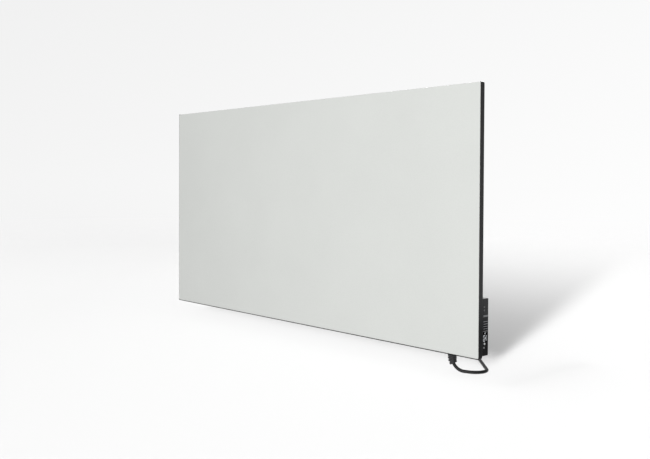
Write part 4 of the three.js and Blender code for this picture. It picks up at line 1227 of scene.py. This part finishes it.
def make_stage():
    bm = bmesh.new()
    n, r = 96, 40.0
    z = at(0, 0, FLOOR_Z).z
    c = bm.verts.new((0, 0, z))
    ring = [bm.verts.new((r * math.cos(2 * math.pi * i / n), r * math.sin(2 * math.pi * i / n), z)) for i in range(n)]
    for i in range(n):
        bm.faces.new((c, ring[i], ring[(i + 1) % n]))
    mat = bpy.data.materials.new("pale_floor")
    mat.use_nodes = True
    t = mat.node_tree
    t.nodes.clear()
    out = t.nodes.new("ShaderNodeOutputMaterial")
    co = t.nodes.new("ShaderNodeTexCoord").outputs["Object"]
    flat = t.nodes.new("ShaderNodeVectorMath")
    flat.operation = "MULTIPLY"
    flat.inputs[1].default_value = (1, 1, 0)
    t.links.new(co, flat.inputs[0])
    lengths = t.nodes.new("ShaderNodeVectorMath")
    lengths.operation = "LENGTH"
    t.links.new(flat.outputs[0], lengths.inputs[0])
    unit = t.nodes.new("ShaderNodeVectorMath")
    unit.operation = "NORMALIZE"
    t.links.new(flat.outputs[0], unit.inputs[0])
    diffuse = t.nodes.new("ShaderNodeBsdfDiffuse")
    diffuse.inputs[0].default_value = (FLOOR_ALBEDO, FLOOR_ALBEDO, FLOOR_ALBEDO, 1)
    glow = t.nodes.new("ShaderNodeEmission")
    level = t.nodes.new("ShaderNodeMath")
    level.operation = "ADD"
    t.links.new(ranged(t, dotted(t, flat.outputs[0], ACROSS), -0.9, 0.7, FLOOR_GLOW - 0.05, FLOOR_GLOW + 0.025), level.inputs[0])
    t.links.new(ranged(t, lengths.outputs["Value"], 1.5, 3.6, 0.0, -0.036), level.inputs[1])
    t.links.new(level.outputs[0], glow.inputs["Strength"])
    near = t.nodes.new("ShaderNodeAddShader")
    t.links.new(diffuse.outputs[0], near.inputs[0])
    t.links.new(glow.outputs[0], near.inputs[1])
    far = t.nodes.new("ShaderNodeEmission")
    t.links.new(backdrop_level(t, unit.outputs[0]), far.inputs["Strength"])
    mix = t.nodes.new("ShaderNodeMixShader")
    t.links.new(ranged(t, lengths.outputs["Value"], 2.3, 8.0, 0, 1, True), mix.inputs[0])
    t.links.new(near.outputs[0], mix.inputs[1])
    t.links.new(far.outputs[0], mix.inputs[2])
    t.links.new(mix.outputs[0], out.inputs[0])
    me = bpy.data.meshes.new("floor")
    bm.to_mesh(me)
    bm.free()
    me.materials.append(mat)
    floor = link(bpy.data.objects.new("floor", me))
    floor.visible_diffuse = False
    return floor


floor = make_stage()


def make_world():
    w = bpy.data.worlds.new("studio")
    bpy.context.scene.world = w
    w.use_nodes = True
    t = w.node_tree
    t.nodes.clear()
    out = t.nodes.new("ShaderNodeOutputWorld")
    lit = t.nodes.new("ShaderNodeBackground")
    seen = t.nodes.new("ShaderNodeBackground")
    mix = t.nodes.new("ShaderNodeMixShader")
    path = t.nodes.new("ShaderNodeLightPath")
    direction = t.nodes.new("ShaderNodeTexCoord").outputs["Generated"]
    lit.inputs[1].default_value = AMBIENT
    lit.inputs[0].default_value = (1, 1, 1, 1)
    high = ranged(t, dotted(t, direction, Vector((0, 0, 1))), 0.0, 0.24, 1.0, 0.963)
    level = t.nodes.new("ShaderNodeMath")
    level.operation = "MULTIPLY"
    t.links.new(backdrop_level(t, direction), level.inputs[0])
    t.links.new(high, level.inputs[1])
    seen.inputs[0].default_value = (1, 1, 1, 1)
    t.links.new(level.outputs[0], seen.inputs[1])
    t.links.new(path.outputs["Is Camera Ray"], mix.inputs[0])
    t.links.new(lit.outputs[0], mix.inputs[1])
    t.links.new(seen.outputs[0], mix.inputs[2])
    t.links.new(mix.outputs[0], out.inputs[0])


make_world()


def make_lights():
    # A tall narrow light from the front right draws the shadow on the floor: one sun for each band of
    # its height, each with a flag of its own inside the panel, so the shadow starts softly behind it.
    only_floor = bpy.data.collections.new("floor_light_receivers")
    only_floor.objects.link(floor)
    not_floor = bpy.data.collections.new("object_light_receivers")
    not_floor.objects.link(floor)
    not_floor.collection_objects[0].light_linking.link_state = "EXCLUDE"
    heading = Vector((-0.379, 0.925, 0))
    black = bpy.data.materials.new("flag")
    bands = (
        (62, 0.034, 14, 95), (50, 0.036, 12, 118), (40, 0.050, 10, 136), (33, 0.064, 8.5, 156), (27, 0.078, 7.5, 182),
        (22, 0.076, 6.5, 208), (18, 0.072, 5.5, 232), (15, 0.056, 4.6, 255), (12.6, 0.038, 4, 270), (10.8, 0.024, 3.4, 280),
        (9.5, 0.018, 3, 285),
    )
    for e, share, size, start in bands:
        d = bpy.data.lights.new(f"sun_{e}", "SUN")
        d.energy = share * math.pi / FLOOR_ALBEDO / math.sin(math.radians(e))
        d.angle = math.radians(size)
        o = link(bpy.data.objects.new(f"sun_{e}", d))
        travel = heading * math.cos(math.radians(e)) + Vector((0, 0, -math.sin(math.radians(e))))
        o.rotation_mode = "QUATERNION"
        o.rotation_quaternion = travel.to_track_quat("-Z", "Y")
        o.location = (0, 0, 3)
        o.light_linking.receiver_collection = only_floor
        low = FLOOR_Z + (start - 12) / 0.925 * math.tan(math.radians(e))
        flag = block(f"flag_{e}", -594, 580, 12.0, 12.4, low, 594, black)
        flag.visible_camera = False
        flag.visible_diffuse = False
        flag.visible_glossy = False
        flag.visible_transmission = False
        flag.visible_volume_scatter = False
        blockers = bpy.data.collections.new(f"blockers_{e}")
        blockers.objects.link(flag)
        o.light_linking.blocker_collection = blockers
    # a black card at the lower right, a little behind the front: right-hand faces darken towards the floor
    dark = bpy.data.materials.new("card")
    dark.use_nodes = True
    dark.node_tree.nodes.clear()
    felt_out = dark.node_tree.nodes.new("ShaderNodeOutputMaterial")
    felt_face = dark.node_tree.nodes.new("ShaderNodeBsdfDiffuse")
    felt_face.inputs[0].default_value = (0.002, 0.002, 0.002, 1)
    dark.node_tree.links.new(felt_face.outputs[0], felt_out.inputs[0])
    card = block("edge_card", 668, 669, 6, 330, FLOOR_Z + 1, 62, dark)
    card.visible_camera = False
    card.visible_shadow = False
    # broad light on the heater itself
    d = bpy.data.lights.new("softbox", "AREA")
    d.shape = "RECTANGLE"
    d.size, d.size_y = 1.8, 1.4
    d.energy = 57
    o = link(bpy.data.objects.new("softbox", d))
    o.location = at(1020, -3000, 820)
    o.rotation_mode = "QUATERNION"
    o.rotation_quaternion = (at(150, 0, 300) - o.location).to_track_quat("-Z", "Y")
    o.light_linking.receiver_collection = not_floor
    # and one on its back
    d = bpy.data.lights.new("back_softbox", "AREA")
    d.shape = "RECTANGLE"
    d.size, d.size_y = 2.0, 1.4
    d.energy = 150
    o = link(bpy.data.objects.new("back_softbox", d))
    o.location = at(-1100, 2600, 2500)
    o.rotation_mode = "QUATERNION"
    o.rotation_quaternion = (at(0, 20, 300) - o.location).to_track_quat("-Z", "Y")
    for_back = bpy.data.collections.new("back_light_receivers")
    for i, left_out in enumerate((floor, cord, relief)):
        for_back.objects.link(left_out)
        for_back.collection_objects[i].light_linking.link_state = "EXCLUDE"
    o.light_linking.receiver_collection = for_back
    o.visible_camera = False


make_lights()
bpy.context.scene.view_settings.view_transform = "Standard"
bpy.context.scene.view_settings.look = "None"
